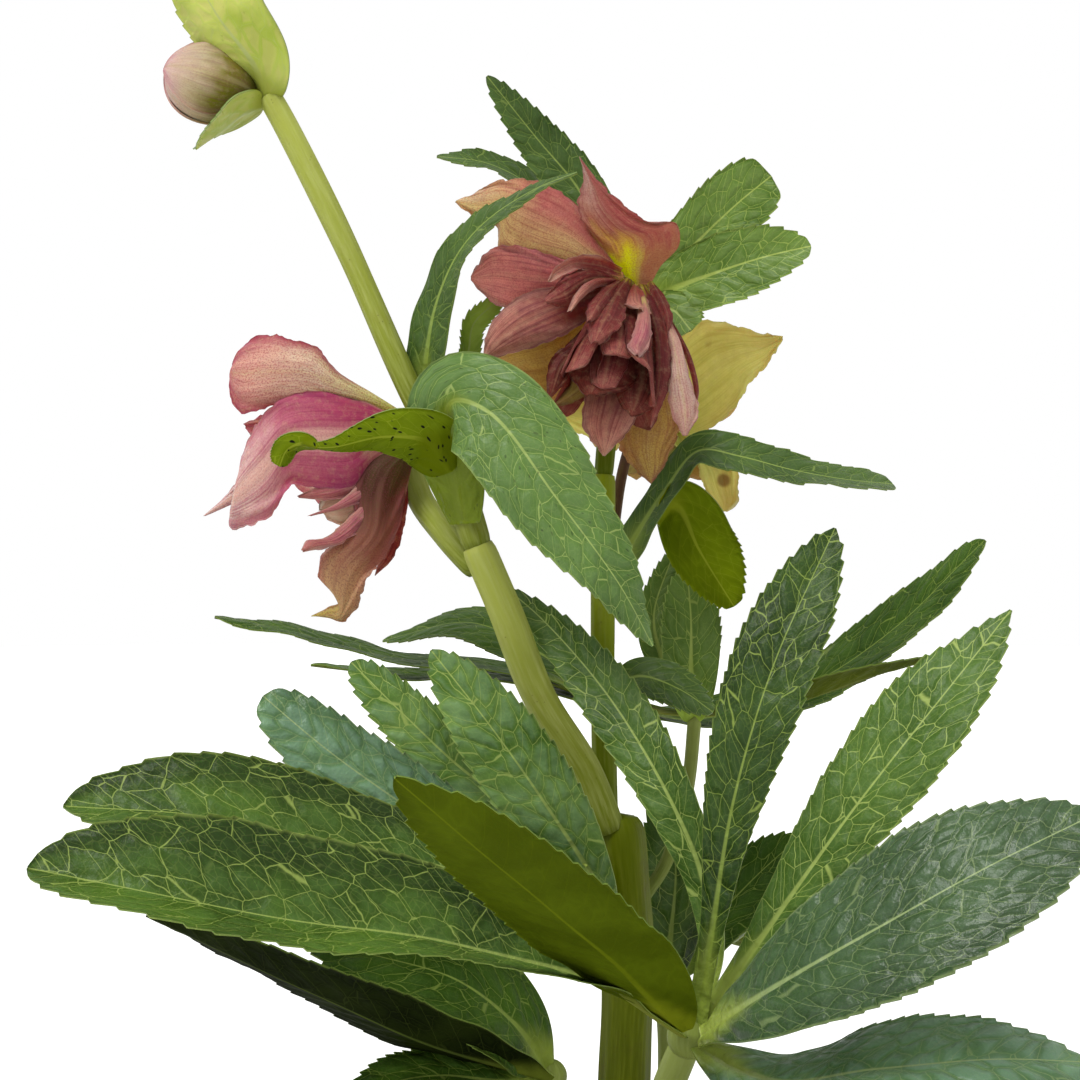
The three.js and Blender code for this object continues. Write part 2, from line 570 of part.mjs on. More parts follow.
function budSolid(grow = 0) {
  const profile = Array.from({ length: bud.rows + 1 }, (_, row) => {
    const turn = (row / bud.rows) * Math.PI;
    const radius = row % bud.rows ? Math.sin(turn) * (bud.radius + grow) : 0;
    return new THREE.Vector2(radius, -Math.cos(turn) * (bud.length / 2 + grow));
  });
  const geometry = new THREE.LatheGeometry(profile, bud.sides);
  const toward = new THREE.Vector3(...bud.toward).normalize();
  geometry.applyQuaternion(new THREE.Quaternion().setFromUnitVectors(new THREE.Vector3(0, 1, 0), toward));
  geometry.translate(...place(bud.at).toArray());
  return solidOf(geometry);
}

function turned(profile, segments) {
  const geometry = new THREE.LatheGeometry(profile.map(([r, z]) => new THREE.Vector2(r, z)), segments);
  geometry.rotateX(Math.PI / 2);
  return solidOf(geometry);
}

// The pot's wall leans out evenly from its base to its rim.
const flare = (pot.rimRadius - pot.rimOut - pot.baseRadius) / pot.height;
const wallRadius = (z) => pot.baseRadius + flare * z;

function potSolid() {
  const inner = pot.rimRadius - pot.rimOut - pot.wall;
  const band = pot.height - pot.rimBand;
  const shell = turned([
    [0, 0], [pot.baseRadius, 0], [wallRadius(band), band],
    [pot.rimRadius - pot.rimEdge / 2, band], [pot.rimRadius, pot.height - pot.rimEdge],
    [pot.rimRadius - pot.rimEdge, pot.height],
    [inner + pot.rimEdge / 2, pot.height], [inner, pot.height - pot.rimEdge],
    [wallRadius(pot.floor) - pot.wall, pot.floor], [0, pot.floor],
  ], pot.sides);
  const drains = Array.from({ length: pot.drains }, (_, k) => {
    const turn = (k / pot.drains) * Math.PI * 2;
    const radius = pot.drainRadius;
    const hole = new THREE.CylinderGeometry(radius, radius, pot.floor * 4, pot.drainSides);
    hole.rotateX(Math.PI / 2);
    hole.translate(pot.drainCircle * Math.cos(turn), pot.drainCircle * Math.sin(turn), 0);
    return solidOf(hole);
  });
  return shell.subtract(joined(drains));
}

function soilSolid() {
  const bottom = pot.floor + seat;
  const side = (z) => wallRadius(z) - pot.wall - seat;
  return turned([
    [0, bottom], [side(bottom), bottom], [side(soil.level), soil.level],
    [side(soil.level) * soil.shoulder, soil.level + soil.crowning * soil.shoulder],
    [0, soil.level + soil.crowning],
  ], pot.sides);
}

function crownSolid(grow = 0) {
  const height = crown.top - crown.bottom;
  return turned([
    [0, crown.bottom - grow], [crown.radius * 0.7 + grow, crown.bottom - grow],
    [crown.radius + grow, crown.bottom + height * 0.4],
    [crown.radius * 0.8 + grow, crown.top - crown.neck + grow],
    [crown.radius * 0.4, crown.top + grow], [0, crown.top + grow],
  ], crown.sides);
}

// What is made, in the order in which it is fitted: each piece is cut back from those before it.
const pieces = [];
const add = (name, material, make) => pieces.push({ name, material, make });

add("crown", "crown", crownSolid);
add("leaf_sheath", "stem", (grow) => tube(sheath, grow));
Object.keys(stems).forEach((name) => add(name, "stem", (grow) => stem(name, grow)));
Object.entries(hearts).forEach(([name, shape]) => add(name, "petalMauve", (grow) => heart(shape, grow)));
add("flower_bud", "sepalRose", budSolid);
const bladeSets = [
  [frontLeaflets, "leaf", leafMake], [lowLeaflets, "leaf", leafMake], [sideLeaflets, "leaf", leafMake],
  [upperLeaflets, "leaf", leafMake], [rearLeaflets, "leaf", leafMake], [bracts, "bract", leafMake],
  [mainSepals, "sepalRose", sepalMake], [rearSepals, "sepalYellow", sepalMake],
  [leftSepals, "sepalRose", sepalMake],
];
bladeSets.forEach(([set, material, make]) => {
  Object.entries(set).forEach(([name, shape]) => add(name, material, (grow) => blade(shape, make, grow)));
});

const boxesMeet = (a, b) => [0, 1, 2].every((k) => a.min[k] <= b.max[k] && b.min[k] <= a.max[k]);
const largest = (solid) => solid.decompose().sort((a, b) => b.volume() - a.volume())[0];

const plant = new THREE.Group();
const fitted = [];

function addMesh(name, material, solid) {
  const mesh = new THREE.Mesh(geometryOf(solid), materials[material]);
  mesh.name = name;
  plant.add(mesh);
}

pieces.forEach(({ name, material, make }) => {
  const solid = fitted.reduce((rest, grown) => {
    return boxesMeet(rest.boundingBox(), grown.boundingBox()) ? rest.subtract(grown) : rest;
  }, make(0));
  addMesh(name, material, largest(solid.simplify(finest)));
  fitted.push(make(seat));
});
addMesh("soil", "soil", largest(fitted.reduce((rest, grown) => rest.subtract(grown), soilSolid())));
addMesh("pot", "pot", potSolid());

export default plant;
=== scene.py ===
import math
import bpy
import numpy as np
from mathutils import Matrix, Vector


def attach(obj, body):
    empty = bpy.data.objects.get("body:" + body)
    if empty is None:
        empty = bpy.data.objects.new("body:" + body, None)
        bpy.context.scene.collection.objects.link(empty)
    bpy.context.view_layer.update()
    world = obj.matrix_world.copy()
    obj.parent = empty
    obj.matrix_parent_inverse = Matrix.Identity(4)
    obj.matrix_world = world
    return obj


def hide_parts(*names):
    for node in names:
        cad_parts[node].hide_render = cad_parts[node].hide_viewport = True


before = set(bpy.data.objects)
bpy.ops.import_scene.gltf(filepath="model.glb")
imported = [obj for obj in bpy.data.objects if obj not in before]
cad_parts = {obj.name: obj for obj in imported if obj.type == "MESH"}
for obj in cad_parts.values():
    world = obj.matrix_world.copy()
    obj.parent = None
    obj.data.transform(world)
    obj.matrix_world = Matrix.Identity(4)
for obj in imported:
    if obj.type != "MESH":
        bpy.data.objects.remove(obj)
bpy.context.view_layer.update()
print("hellebore: frame loaded,", len(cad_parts), "nodes")

# Routes and sizes are in millimetres. A route point is (right, up, depth), drawn on the plant's middle
# plane as the front view shows it; depth then says how far behind that plane it lies.
viewer = {"right": -18.75, "up": 325.0, "distance": 520.0}
mm = 0.001       # one millimetre in metres
spanSteps = 40   # steps between two points of a route, before it is read at even shares


def place(point):
    right, up, depth = point
    scale = 1 + depth / viewer["distance"]
    side = viewer["right"] + (right - viewer["right"]) * scale
    return np.array([side, depth, viewer["up"] + (up - viewer["up"]) * scale])


def seedOf(name):
    return sum((k + 1) * ord(letter) for k, letter in enumerate(name))


def unit(vectors):
    return vectors / np.linalg.norm(vectors, axis=-1, keepdims=True)


def softStep(x, low, high):
    x = np.clip((x - low) / (high - low), 0, 1)
    return x * x * (3 - 2 * x)


def wobble(x, seed, waves=3):
    random = np.random.default_rng(seed)
    total = 0
    for k in range(waves):
        pace, turn = (k + 1) * random.uniform(0.8, 1.25), random.uniform(0, 2 * math.pi)
        total = total + np.sin(x * pace + turn) / (k + 1)
    return total / 1.5


# A smooth curve through the points, read at even shares of its length.
def follow(points, shares):
    points = np.array(points, float)
    points = np.vstack([2 * points[0] - points[1], points, 2 * points[-1] - points[-2]])
    u = np.linspace(0, 1, spanSteps, endpoint=False)[:, None]
    dense = []
    for a, b, c, d in zip(points, points[1:], points[2:], points[3:]):
        before, here, after = (math.sqrt(np.linalg.norm(q - p)) for p, q in ((a, b), (b, c), (c, d)))
        leave = ((b - a) / before - (c - a) / (before + here) + (c - b) / here) * here
        arrive = ((c - b) / here - (d - b) / (here + after) + (d - c) / after) * here
        dense.append(b + leave * u + (3 * (c - b) - 2 * leave - arrive) * u ** 2
                     + (2 * (b - c) + leave + arrive) * u ** 3)
    dense = np.vstack(dense + [points[-2][None]])
    travelled = np.concatenate([[0], np.cumsum(np.linalg.norm(np.diff(dense, axis=0), axis=1))])
    wanted = shares * travelled[-1]
    places = np.stack([np.interp(wanted, travelled, dense[:, k]) for k in range(3)], 1)
    slopes = np.gradient(dense, travelled, axis=0)
    along = unit(np.stack([np.interp(wanted, travelled, slopes[:, k]) for k in range(3)], 1))
    return places, along, travelled[-1]


def outline(t, broadest, point):
    t = np.clip(t, 1e-6, 1 - 1e-6)
    bulge = (t / broadest) ** broadest * ((1 - t) / (1 - broadest)) ** (1 - broadest)
    return bulge ** (point * bladeForm["taper"])


# What all blades share. Eases are shares of the blade's length; other lengths are millimetres.
bladeForm = {
    "taper": 1.6, "endHalf": 0.35, "footPower": 3, "marginPower": 8, "toothEase": 0.25, "tipEase": 0.03,
    "toothLean": 0.9, "raggedPace": 0.9, "veinCurve": 0.3, "veinShift": 0.45, "veinWander": 0.15,
    "veinWanderLength": 9, "swellLevel": 0.45, "grooveWidth": 0.9, "swayLength": 25, "curlFrom": 0.7,
}


# The blade's side veins by number, and how far its surface is lifted off the plane of its spine.
def bladeRelief(s, t, half, length, shape, look, seed):
    form = bladeForm
    side, forward = s * half, t * length
    # side veins leave the midrib forwards; the blade swells between them and the midrib is sunk
    veins = forward - look["veinLean"] * np.abs(side) - form["veinCurve"] * side ** 2 / half
    veins = veins / look["veinGap"]
    wander = wobble(forward / form["veinWanderLength"] + 3 * np.sign(s), seed)
    veins = veins + form["veinShift"] * (s > 0) + form["veinWander"] * wander
    room = softStep(np.abs(side), 0.5, 2.5) * softStep(1 - np.abs(s), 0, 0.2)
    swell = look["pucker"] * (np.abs(np.sin(math.pi * veins)) ** 0.8 - form["swellLevel"]) * room
    groove = -look["groove"] * np.exp(-(side / form["grooveWidth"]) ** 2) * (1 - t)
    wave = look["wave"] * s ** 2 * wobble(forward / look["waveLength"] + 9 * np.sign(s), seed + 1)
    sway = look["sway"] * wobble(forward / form["swayLength"], seed + 2) * np.sin(math.pi * t)
    lift = half * (shape["fold"] * np.abs(s) + shape["cup"] * s ** 2) + swell + groove
    lift = lift + (wave + sway) * softStep(half, 0.4, 4)
    return veins, lift + look["curl"] * softStep(t, form["curlFrom"], 1.0) ** 2


# One blade as a grid of points: rows run from base to tip, columns from margin to margin.
def growBlade(points, shape, look, seed):
    form = bladeForm
    t = np.linspace(0, 1, look["rows"] + 1)
    middle, along, length = follow(points, t)
    faceBase, faceTip = np.array(shape["face"], float)
    face = faceBase + (faceTip - faceBase) * t[:, None]
    face = unit(face - along * (face * along).sum(1, keepdims=True))
    across = np.cross(along, face)
    foot = shape["stalk"] * (1 - t) ** form["footPower"]
    width = shape["width"] * outline(t, shape["broadest"], shape["point"]) + foot
    s, t = np.meshgrid(np.linspace(-1, 1, look["columns"] + 1), t)
    half = (width / 2 + form["endHalf"])[:, None]
    margin = np.abs(s) ** form["marginPower"]

    # teeth point to the tip and grow along the blade; the inner petals' ragged margins have none
    toothFrom = look["toothFrom"]
    tooth = (t * look["teeth"]) % 1.0 * softStep(t, toothFrom, toothFrom + form["toothEase"])
    tooth = tooth * look["toothDepth"] * softStep(1 - t, 0, form["tipEase"])
    uneven = wobble(t * length * form["raggedPace"] + 40 * np.sign(s), seed + 5, 4)
    ragged = look["ragged"] * uneven * softStep(t, 0.25, 0.8)
    out = s * half + np.sign(s) * (tooth + ragged) * margin * softStep(half, 0.4, 2.5)
    ahead = tooth * form["toothLean"] * margin
    veins, lift = bladeRelief(s, t, half, length, shape, look, seed)

    def spread(values, direction):
        return values[..., None] * direction[:, None, :]

    top = middle[:, None, :] + spread(out, across) + spread(ahead, along) + spread(lift, face)
    thick = look["thickness"] * (1 - 0.5 * s ** 2)
    flat = np.stack([out / 10, t * length / 10 + seed % 97], -1)
    under = top - spread(thick, face)
    return {"top": top, "under": under, "flat": flat, "place": np.stack([s, t, veins], -1)}


# What the sepals and the inner petals in front share.
petalForm = {"marginPower": 8, "raggedPace": 1.3, "notchPace": 0.55, "ribCount": 17, "creaseWidth": 0.08}


# Places on a sheet without side veins: across from -1 to 1 and along from 0 to 1.
def plainPlaces(s, t):
    s, t = np.broadcast_arrays(s, t)
    return np.stack([s, t, np.zeros_like(s)], -1)


# A petal drawn by its two margins, each from base to tip; depth is that of base, middle and tip.
def growPetal(shape, look, seed):
    form = petalForm
    t = np.linspace(0, 1, look["rows"] + 1)
    margins = []
    for key in ("left", "right"):
        shares = np.linspace(0, 1, len(shape[key]))
        depths = np.interp(shares, (0, 0.5, 1), shape["depth"])
        route = [place((*point, depth)) for point, depth in zip(shape[key], depths)]
        margins.append(follow(route, t)[0])
    left, right = margins
    width = np.linalg.norm(right - left, axis=1)[:, None]
    across = unit(np.mean(right - left, 0))
    tears = []
    for side, margin in ((-1, left), (1, right)):
        steps = np.linalg.norm(np.diff(margin, axis=0), axis=1).sum() * t[:, None]
        notch = np.abs(wobble(steps * form["notchPace"], seed + side, 4)) ** 3
        uneven = look["ragged"] * (wobble(steps * form["raggedPace"], seed + 3 * side, 4) - notch)
        tears.append(side * uneven * softStep(t[:, None], 0.2, 0.6) * softStep(width, 1, 5))
    middle = (left + right) / 2
    along = unit(np.gradient(middle, axis=0))
    upward = np.cross(np.broadcast_to(across, along.shape), along)
    normal = unit(upward * np.where(upward[:, 1:2] > 0, -1, 1))
    s, t = np.meshgrid(np.linspace(-1, 1, look["columns"] + 1), t)
    half = width / 2
    length = np.linalg.norm(np.diff(middle, axis=0), axis=1).sum()
    belly = shape["belly"] * np.sqrt(np.clip(half / half.max(), 0, 1)) * (1 - s ** 2)
    ends = np.sqrt(t * (1 - t))
    ribs = look["ribs"] * np.cos(s * form["ribCount"] + 2 * wobble(t * 3, seed)) * (1 - s ** 2) * ends
    wave = look["wave"] * np.abs(s) ** 3 * wobble(t * length / look["waveLength"] + 7 * s, seed)
    wave = wave * softStep(half, 0.3, 3) * softStep(t, 0, 0.3)
    crease = -look["crease"] * np.exp(-(s / form["creaseWidth"]) ** 2) * ends
    torn = np.where(s < 0, tears[0], tears[1]) * s ** form["marginPower"]
    top = middle[:, None] + (right - left)[:, None] / 2 * s[..., None] + across * torn[..., None]
    top = top + normal[:, None] * (belly + ribs + wave + crease)[..., None]
    thick = look["thickness"] * (1 - 0.5 * s ** 2)
    under = top - normal[:, None] * thick[..., None]
    flat = np.stack([s * half / 10, t * length / 10 + seed % 97], -1)
    sheet = {"top": top, "under": under, "flat": flat, "place": plainPlaces(s, t)}
    if (upward * normal).sum() < 0:
        sheet = {key: grid[:, ::-1] for key, grid in sheet.items()}
    return sheet


# Any sheets with two sides and a rim between them, in one mesh. flat is in centimetres.
def makeSheets(name, sheets, finishes):
    points, flats, places, faces, kinds = [], [], [], [], []
    start = 0
    for sheet in sheets:
        rows, columns = sheet["top"].shape[:2]
        top = np.arange(rows * columns).reshape(rows, columns) + start
        under = top + rows * columns
        points += [sheet["top"].reshape(-1, 3), sheet["under"].reshape(-1, 3)]
        flats += [sheet["flat"].reshape(-1, 2)] * 2
        places += [sheet["place"].reshape(-1, 3)] * 2
        upper = np.stack([top[:-1, :-1], top[:-1, 1:], top[1:, 1:], top[1:, :-1]], -1).reshape(-1, 4)
        lower = np.stack([under[:-1, :-1], under[1:, :-1], under[1:, 1:], under[:-1, 1:]], -1)
        lower = lower.reshape(-1, 4)
        edge = np.concatenate([top[0], top[1:, -1], top[-1, -2::-1], top[-2::-1, 0]])
        below = edge + rows * columns
        rim = np.stack([edge[:-1], edge[1:], below[1:], below[:-1]], -1)
        faces += [upper, lower, rim]
        finish = sheet.get("finish", 0)
        kinds += [np.full(len(upper), finish), np.full(len(lower), finish + 1), np.full(len(rim), finish)]
        start += 2 * rows * columns
    return makeMesh(name, points, faces, np.concatenate(kinds), finishes, flats, places)


def putInScene(name, data):
    made = bpy.data.objects.new(name, data)
    bpy.context.scene.collection.objects.link(made)
    return made


def makeMesh(name, points, faces, kinds, finishes, flats=None, places=None):
    mesh = bpy.data.meshes.new(name)
    mesh.from_pydata((np.vstack(points) * mm).tolist(), [], [f for part in faces for f in part.tolist()])
    for finish in finishes:
        mesh.materials.append(finish)
    mesh.polygons.foreach_set("material_index", np.asarray(kinds, np.int32))
    mesh.polygons.foreach_set("use_smooth", np.ones(len(mesh.polygons), bool))
    if flats is not None:
        corners = np.empty(len(mesh.loops), np.int32)
        mesh.loops.foreach_get("vertex_index", corners)
        layer = mesh.uv_layers.new(name="bladeFlat")
        layer.data.foreach_set("uv", np.vstack(flats)[corners].astype(np.float32).ravel())
        layer = mesh.attributes.new("bladePlace", "FLOAT_VECTOR", "POINT")
        layer.data.foreach_set("vector", np.vstack(places).astype(np.float32).ravel())
    mesh.update()
    return putInScene(name, mesh)


def settle(piece, node):
    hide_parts(node)
    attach(piece, "root")
    return piece


# Small helpers for the finishes. Colours are written as they look in the studio, where the light makes
# them about twice as bright; tone takes them back by that share.
lightShare = 0.5


def tone(code, share=lightShare):
    shares = [int(code[k:k + 2], 16) / 255 for k in (0, 2, 4)]
    linear = [c / 12.92 if c <= 0.04045 else ((c + 0.055) / 1.055) ** 2.4 for c in shares]
    return (*(share * c for c in linear), 1.0)


def newFinish(name):
    material = bpy.data.materials.new(name)
    material.use_nodes = True
    return material, material.node_tree, material.node_tree.nodes["Principled BSDF"]


def addNode(tree, kind, inputs=None, **settings):
    made = tree.nodes.new("ShaderNode" + kind)
    for key, value in settings.items():
        setattr(made, key, value)
    for key, value in (inputs or {}).items():
        if isinstance(value, bpy.types.NodeSocket):
            tree.links.new(value, made.inputs[key])
        else:
            made.inputs[key].default_value = value
    return made


def maths(tree, operation, *values):
    return addNode(tree, "Math", dict(enumerate(values)), operation=operation).outputs[0]


def times(tree, first, second):
    return maths(tree, "MULTIPLY", first, second)


def plus(tree, first, second):
    return maths(tree, "ADD", first, second)


def scaled(tree, value, factor, added):
    return maths(tree, "MULTIPLY_ADD", value, factor, added)


def fade(tree, value, low, high, first=0.0, last=1.0):
    inputs = {"Value": value, "From Min": low, "From Max": high, "To Min": first, "To Max": last}
    return addNode(tree, "MapRange", inputs, interpolation_type="SMOOTHSTEP").outputs[0]


def blend(tree, share, first, second):
    inputs = {0: share, 6: first, 7: second}
    return addNode(tree, "Mix", inputs, data_type="RGBA").outputs[2]


def cloud(tree, vector, scale, detail=2.0, roughness=0.5):
    inputs = {"Vector": vector, "Scale": scale, "Detail": detail, "Roughness": roughness}
    return addNode(tree, "TexNoise", inputs).outputs[0]


# A cloud drawn out along a blade or a stem; scales are those across it and along it.
def streak(tree, side, end, scales, lane=0.0, detail=3.0, roughness=0.6):
    stretched = combine(tree, times(tree, side, scales[0]), times(tree, end, scales[1]), lane)
    return cloud(tree, stretched, 1.0, detail, roughness)


def cells(tree, vector, scale, feature="DISTANCE_TO_EDGE", loose=1.0):
    inputs = {"Vector": vector, "Scale": scale, "Randomness": loose}
    return addNode(tree, "TexVoronoi", inputs, feature=feature).outputs["Distance"]


def split(tree, vector):
    return addNode(tree, "SeparateXYZ", {0: vector}).outputs[:3]


def combine(tree, x, y, z=0.0):
    return addNode(tree, "CombineXYZ", {0: x, 1: y, 2: z}).outputs[0]


def bump(tree, shader, height, strength, depth):
    inputs = {"Height": height, "Strength": strength, "Distance": depth}
    tree.links.new(addNode(tree, "Bump", inputs).outputs[0], shader.inputs["Normal"])


def ramp(tree, value, stops):
    made = addNode(tree, "ValToRGB", {0: value})
    band = made.color_ramp
    band.elements[0].position, band.elements[0].color = stops[0][0], tone(stops[0][1])
    band.elements[1].position, band.elements[1].color = stops[-1][0], tone(stops[-1][1])
    for position, code in stops[1:-1]:
        band.elements.new(position).color = tone(code)
    return made.outputs[0]


def paint(tree, shader, colour, roughness):
    tree.links.new(colour, shader.inputs["Base Color"])
    tree.links.new(roughness, shader.inputs["Roughness"])


# How much light goes through the skin: a share, the reach of red, green and blue, and its depth in metres.
def glow(shader, share, reach, depth):
    shader.inputs["Subsurface Weight"].default_value = share
    shader.inputs["Subsurface Radius"].default_value = reach
    shader.inputs["Subsurface Scale"].default_value = depth


def objectPlace(tree):
    return addNode(tree, "TexCoord").outputs["Object"]


def bladeCoordinates(tree):
    flat = addNode(tree, "UVMap", uv_map="bladeFlat").outputs[0]
    spot = addNode(tree, "Attribute", attribute_name="bladePlace").outputs["Vector"]
    own = addNode(tree, "ObjectInfo").outputs["Random"]
    return flat, split(tree, flat), split(tree, spot), own


# Leaf finishes. deep and light are the blade's two greens, vein the colour of midrib, side veins and net;
# raised is 1 on undersides, where the veins stand up, and -1 on upper sides, where they are sunk.
# The first share below is how strongly painted shade darkens one side of each blade towards its margin.
leafPlain = {
    "dusk": 0.2, "shine": 0.15, "footReach": (0.14, 0.34), "specks": 0.12, "speckSize": 0.17,
    "speckScale": 4.5, "speckPatches": (0.5, 0.6),
}
upperSide = {**leafPlain, "raised": -1, "midrib": 0.05, "sideVeins": 0.5, "net": 0.85, "cell": 1.8,
             "rough": 0.4, "bumps": 0.8}
underSide = {**leafPlain, "raised": 1, "midrib": 0.06, "sideVeins": 0.35, "net": 0.35, "cell": 2.4,
             "rough": 0.7, "bumps": 0.3}
leafFinishes = {
    "netLeaf": {**upperSide, "deep": "395611", "light": "597C24", "vein": "ACC060", "bloomHighlight": "658941",
        "foot": "B0C250", "dusk": 0.75, "sideVeins": 0.6, "cell": 1.6, "bumps": 0.9},
    "darkLeaf": {**upperSide, "deep": "263E0C", "light": "3E5A1C", "vein": "9CB252", "bloomHighlight": "4A6838",
        "foot": "A6BA4A", "midrib": 0.045, "sideVeins": 0.55, "bumps": 0.9},
    "deepLeaf": {**upperSide, "deep": "2E4C0D", "light": "4C6E1B", "vein": "9EB454", "bloomHighlight": "5A7D38",
        "foot": "A0B444", "midrib": 0.045, "net": 0.6, "cell": 1.9, "rough": 0.5, "shine": 0.06},
    "freshLeaf": {**upperSide, "deep": "3E6016", "light": "5C7E2E", "vein": "B8CC6C", "bloomHighlight": "6A8C4E",
        "foot": "B4C854", "sideVeins": 0.6},
    "paleLeaf": {**upperSide, "deep": "577E28", "light": "81A653", "vein": "B8CC6C", "bloomHighlight": "94B98E",
        "foot": "B4C854", "sideVeins": 0.6, "net": 0.75},
    "blueLeaf": {**upperSide, "deep": "446E38", "light": "749E67", "vein": "AABE7C", "bloomHighlight": "AAD0BE",
        "foot": "B0C250", "net": 0.4, "rough": 0.34, "bumps": 1.0, "shine": 0.3, "dusk": 0.3},
    "tealLeaf": {**upperSide, "deep": "2A471D", "light": "466536", "vein": "AABE7C", "bloomHighlight": "688564",
        "foot": "B0C250", "net": 0.4, "rough": 0.34, "bumps": 1.0, "shine": 0.3, "dusk": 0.3},
    "oliveBack": {**underSide, "deep": "4C5A04", "light": "64720E", "vein": "909A2E", "bloomHighlight": "6E7C20",
        "foot": "A4AC44", "midrib": 0.07, "sideVeins": 0.4, "net": 0.3, "cell": 2.2, "bumps": 0.4,
        "shine": 0.03},
    "litBack": {**underSide, "deep": "4A5800", "light": "617209", "vein": "76840E", "bloomHighlight": "4E5A00",
        "foot": "98A41C", "sideVeins": 0.25, "net": 0.12, "bumps": 0.25, "shine": 0.03},
    "oliveBractBack": {**underSide, "deep": "657700", "light": "85990C", "vein": "A4B02E",
        "bloomHighlight": "6B7900", "foot": "98A41C", "sideVeins": 0.5, "bumps": 0.25, "shine": 0.03},
    # painted shade: a near-black copy of the olive underside, for undersides that lie in shadow
    "shadowedBack": {**underSide, "deep": "0C1402", "light": "202A08", "vein": "56642A", "bloomHighlight": "28340E",
        "foot": "7C8A2C", "net": 0.2, "cell": 2.2, "shine": 0.02},
    "glaucousBract": {**upperSide, "deep": "597B34", "light": "709447", "vein": "B8CC74",
        "bloomHighlight": "87A46C", "foot": "7C8E00", "net": 0.7, "cell": 2.0, "rough": 0.36, "bumps": 0.7,
        "footReach": (0.3, 0.42), "shine": 0.14, "specks": 0.45, "speckPatches": (0.4, 0.5)},
    "deepBract": {**upperSide, "deep": "3E5A20", "light": "55722F", "vein": "A2B85A", "bloomHighlight": "627E46",
        "foot": "94A63C", "midrib": 0.045, "net": 0.5, "cell": 2.4, "bumps": 0.6},
    "freshBract": {**upperSide, "deep": "547823", "light": "77983E", "vein": "BED068",
        "bloomHighlight": "93AA61", "foot": "BCD850", "midrib": 0.06, "sideVeins": 0.7, "net": 0.65, "cell": 2.3,
        "bumps": 0.6, "footReach": (0.16, 0.42)},
    "paleBack": {**underSide, "deep": "829C2A", "light": "A4BE40", "vein": "A4B45E", "bloomHighlight": "B6CD54",
        "foot": "A2B04C", "sideVeins": 0.4, "rough": 0.55, "bumps": 0.4},
    "spottedBack": {**underSide, "deep": "6A7E00", "light": "80960A", "vein": "AEBC34",
        "bloomHighlight": "8A9C22", "foot": "788800", "midrib": 0.05, "net": 0.45, "rough": 0.5, "bumps": 0.4,
        "specks": 1.0, "speckScale": 5.2, "speckSize": 0.24, "speckPatches": (0.2, 0.3),
        "footReach": (0.3, 0.42), "shine": 0.04},
    "stalkBack": {**underSide, "deep": "5E7012", "light": "7A8A28", "vein": "A0AC4A", "bloomHighlight": "849238",
        "foot": "8A9A28", "sideVeins": 0.2, "net": 0.2, "rough": 0.5},
    "budBack": {**underSide, "deep": "B6CA43", "light": "DCE66E", "vein": "C8D280", "bloomHighlight": "EED890",
        "foot": "B8C244", "midrib": 0.05, "sideVeins": 0.25, "net": 0.4, "rough": 0.42},
}


# The pattern of all leaves. Scales are per centimetre; an edge is where a line starts and ends to fade.
# fineCell says how many times finer the finest meshes are than the net.
leafPattern = {
    "driftScale": 1.6, "drift": (0.3, 0.3, 0.0), "sideStretch": 0.35, "netLean": -0.6, "netLength": 0.85,
    "veinEdge": (0.003, 0.02), "fineCell": 3.1, "fineEdge": (0.004, 0.07), "fineShare": 0.16,
    "marginFrom": 0.95, "marginShare": 0.55, "bodyScale": 0.55, "bloomHighlightEdge": (0.04, 0.2), "bloomHighlightShare": 0.3,
    "ownShare": 0.35, "paintedShadeLevel": 0.4, "footShare": 0.9, "speck": "1A1C10", "grainScale": 14.0,
    "puffScale": 2.4, "bumpDepth": 0.0006,
}


